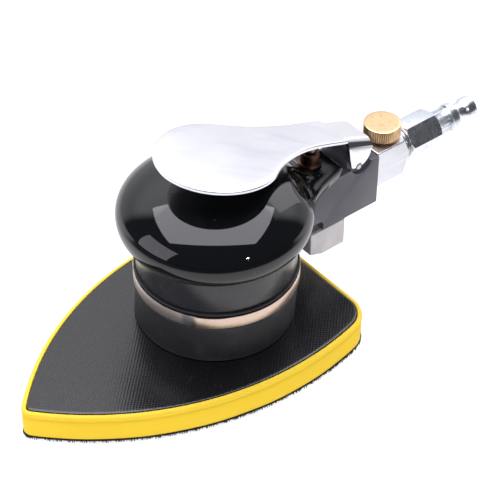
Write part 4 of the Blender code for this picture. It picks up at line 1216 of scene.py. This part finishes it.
def make_floor():
    """A wide pale sweep; pieces mirror it lit where they stand and behind, and dark in front."""
    bm = bmesh.new()
    bmesh.ops.create_circle(bm, cap_ends=True, segments=96, radius=FLOOR_RADIUS)
    floor = as_object("floor", bm)
    finish = Finish("floor", (0.3, 0.3, 0.305), 0.8, Emission_Color=(1.0, 1.0, 1.0, 1.0))
    away = facing(VIEW_AZIMUTH + 180.0, 0.0)
    depth = finish.math("ADD", *(finish.math("MULTIPLY", finish.axis(i), away[i]) for i in (0, 1)))
    behind = finish.span(depth, *(value * MM for value in LIT_DEPTHS))
    lit = finish.math("MAXIMUM", finish.within((0.0, 0.0), *LIT_RADII), behind)
    lit = finish.math("MAXIMUM", finish.camera_ray(), lit)
    finish.links.new(finish.math("MULTIPLY", lit, 0.8), finish.shader.inputs["Emission Strength"])
    finish.tint(finish.math("SUBTRACT", 1.0, lit), (0.03, 0.03, 0.03))
    floor.data.materials.append(finish.material)


def make_world():
    """Pale where seen directly; as a light, bright behind the object and dim elsewhere."""
    world = bpy.data.worlds.new("studio")
    bpy.context.scene.world = world
    world.use_nodes = True
    graph = Graph(world.node_tree)
    place = graph.nodes.new("ShaderNodeTexCoord").outputs["Generated"]
    split = graph.nodes.new("ShaderNodeSeparateXYZ")
    graph.links.new(place, split.inputs["Vector"])
    height = split.outputs["Z"]
    behind = graph.nodes.new("ShaderNodeVectorMath")
    behind.operation = "DOT_PRODUCT"
    behind.inputs[1].default_value = facing(140.0, 0.0)
    graph.links.new(place, behind.inputs[0])
    rising = graph.span(height, 0.35, 0.65, 0.95, 1.6)
    below_top = graph.span(height, 0.76, 0.8, 1.0, 0.0)
    wall = graph.span(behind.outputs["Value"], 0.3, 0.5)
    backdrop = graph.math("MULTIPLY", wall, graph.math("MULTIPLY", rising, below_top))
    studio = graph.math("MAXIMUM", graph.span(height, 0.1, 0.9, 0.075, 0.06), backdrop)
    background = graph.nodes["Background"]
    strength = graph.math("MAXIMUM", graph.camera_ray(), studio)
    graph.links.new(strength, background.inputs["Strength"])
    background.inputs["Color"].default_value = (0.95, 0.96, 1.0, 1.0)


def make_studio():
    make_camera()
    make_floor()
    make_world()
    softbox("overhead", 152.7, 77.8, 0.92, 1.215, 0.88, 4.6, spin=VIEW_AZIMUTH)
    softbox("left_box", -106.0, 21.0, 0.9, 0.62, 0.66, 2.3)
    softbox("right_box", 107.0, 31.0, 0.9, 0.42, 0.5, 1.3)
    softbox("lamp", -2.0, 28.0, 0.9, 0.03, 0.03, 300.0)
    fill = softbox("fill", -25.0, 20.0, 1.2, 1.2, 0.7, 2.0)
    fill.visible_glossy = False
    settings = bpy.context.scene.view_settings
    settings.view_transform = "Standard"
    settings.look = "None"


make_studio()
dress_cad_nodes()
make_foam()
make_hook_layer()
make_plate()
make_housing()
make_boot()
make_strap()
make_grip()
make_fasteners()
make_lever()
make_valve()
make_spring()
make_inlet()
make_knob()
make_plug()
make_muffler()
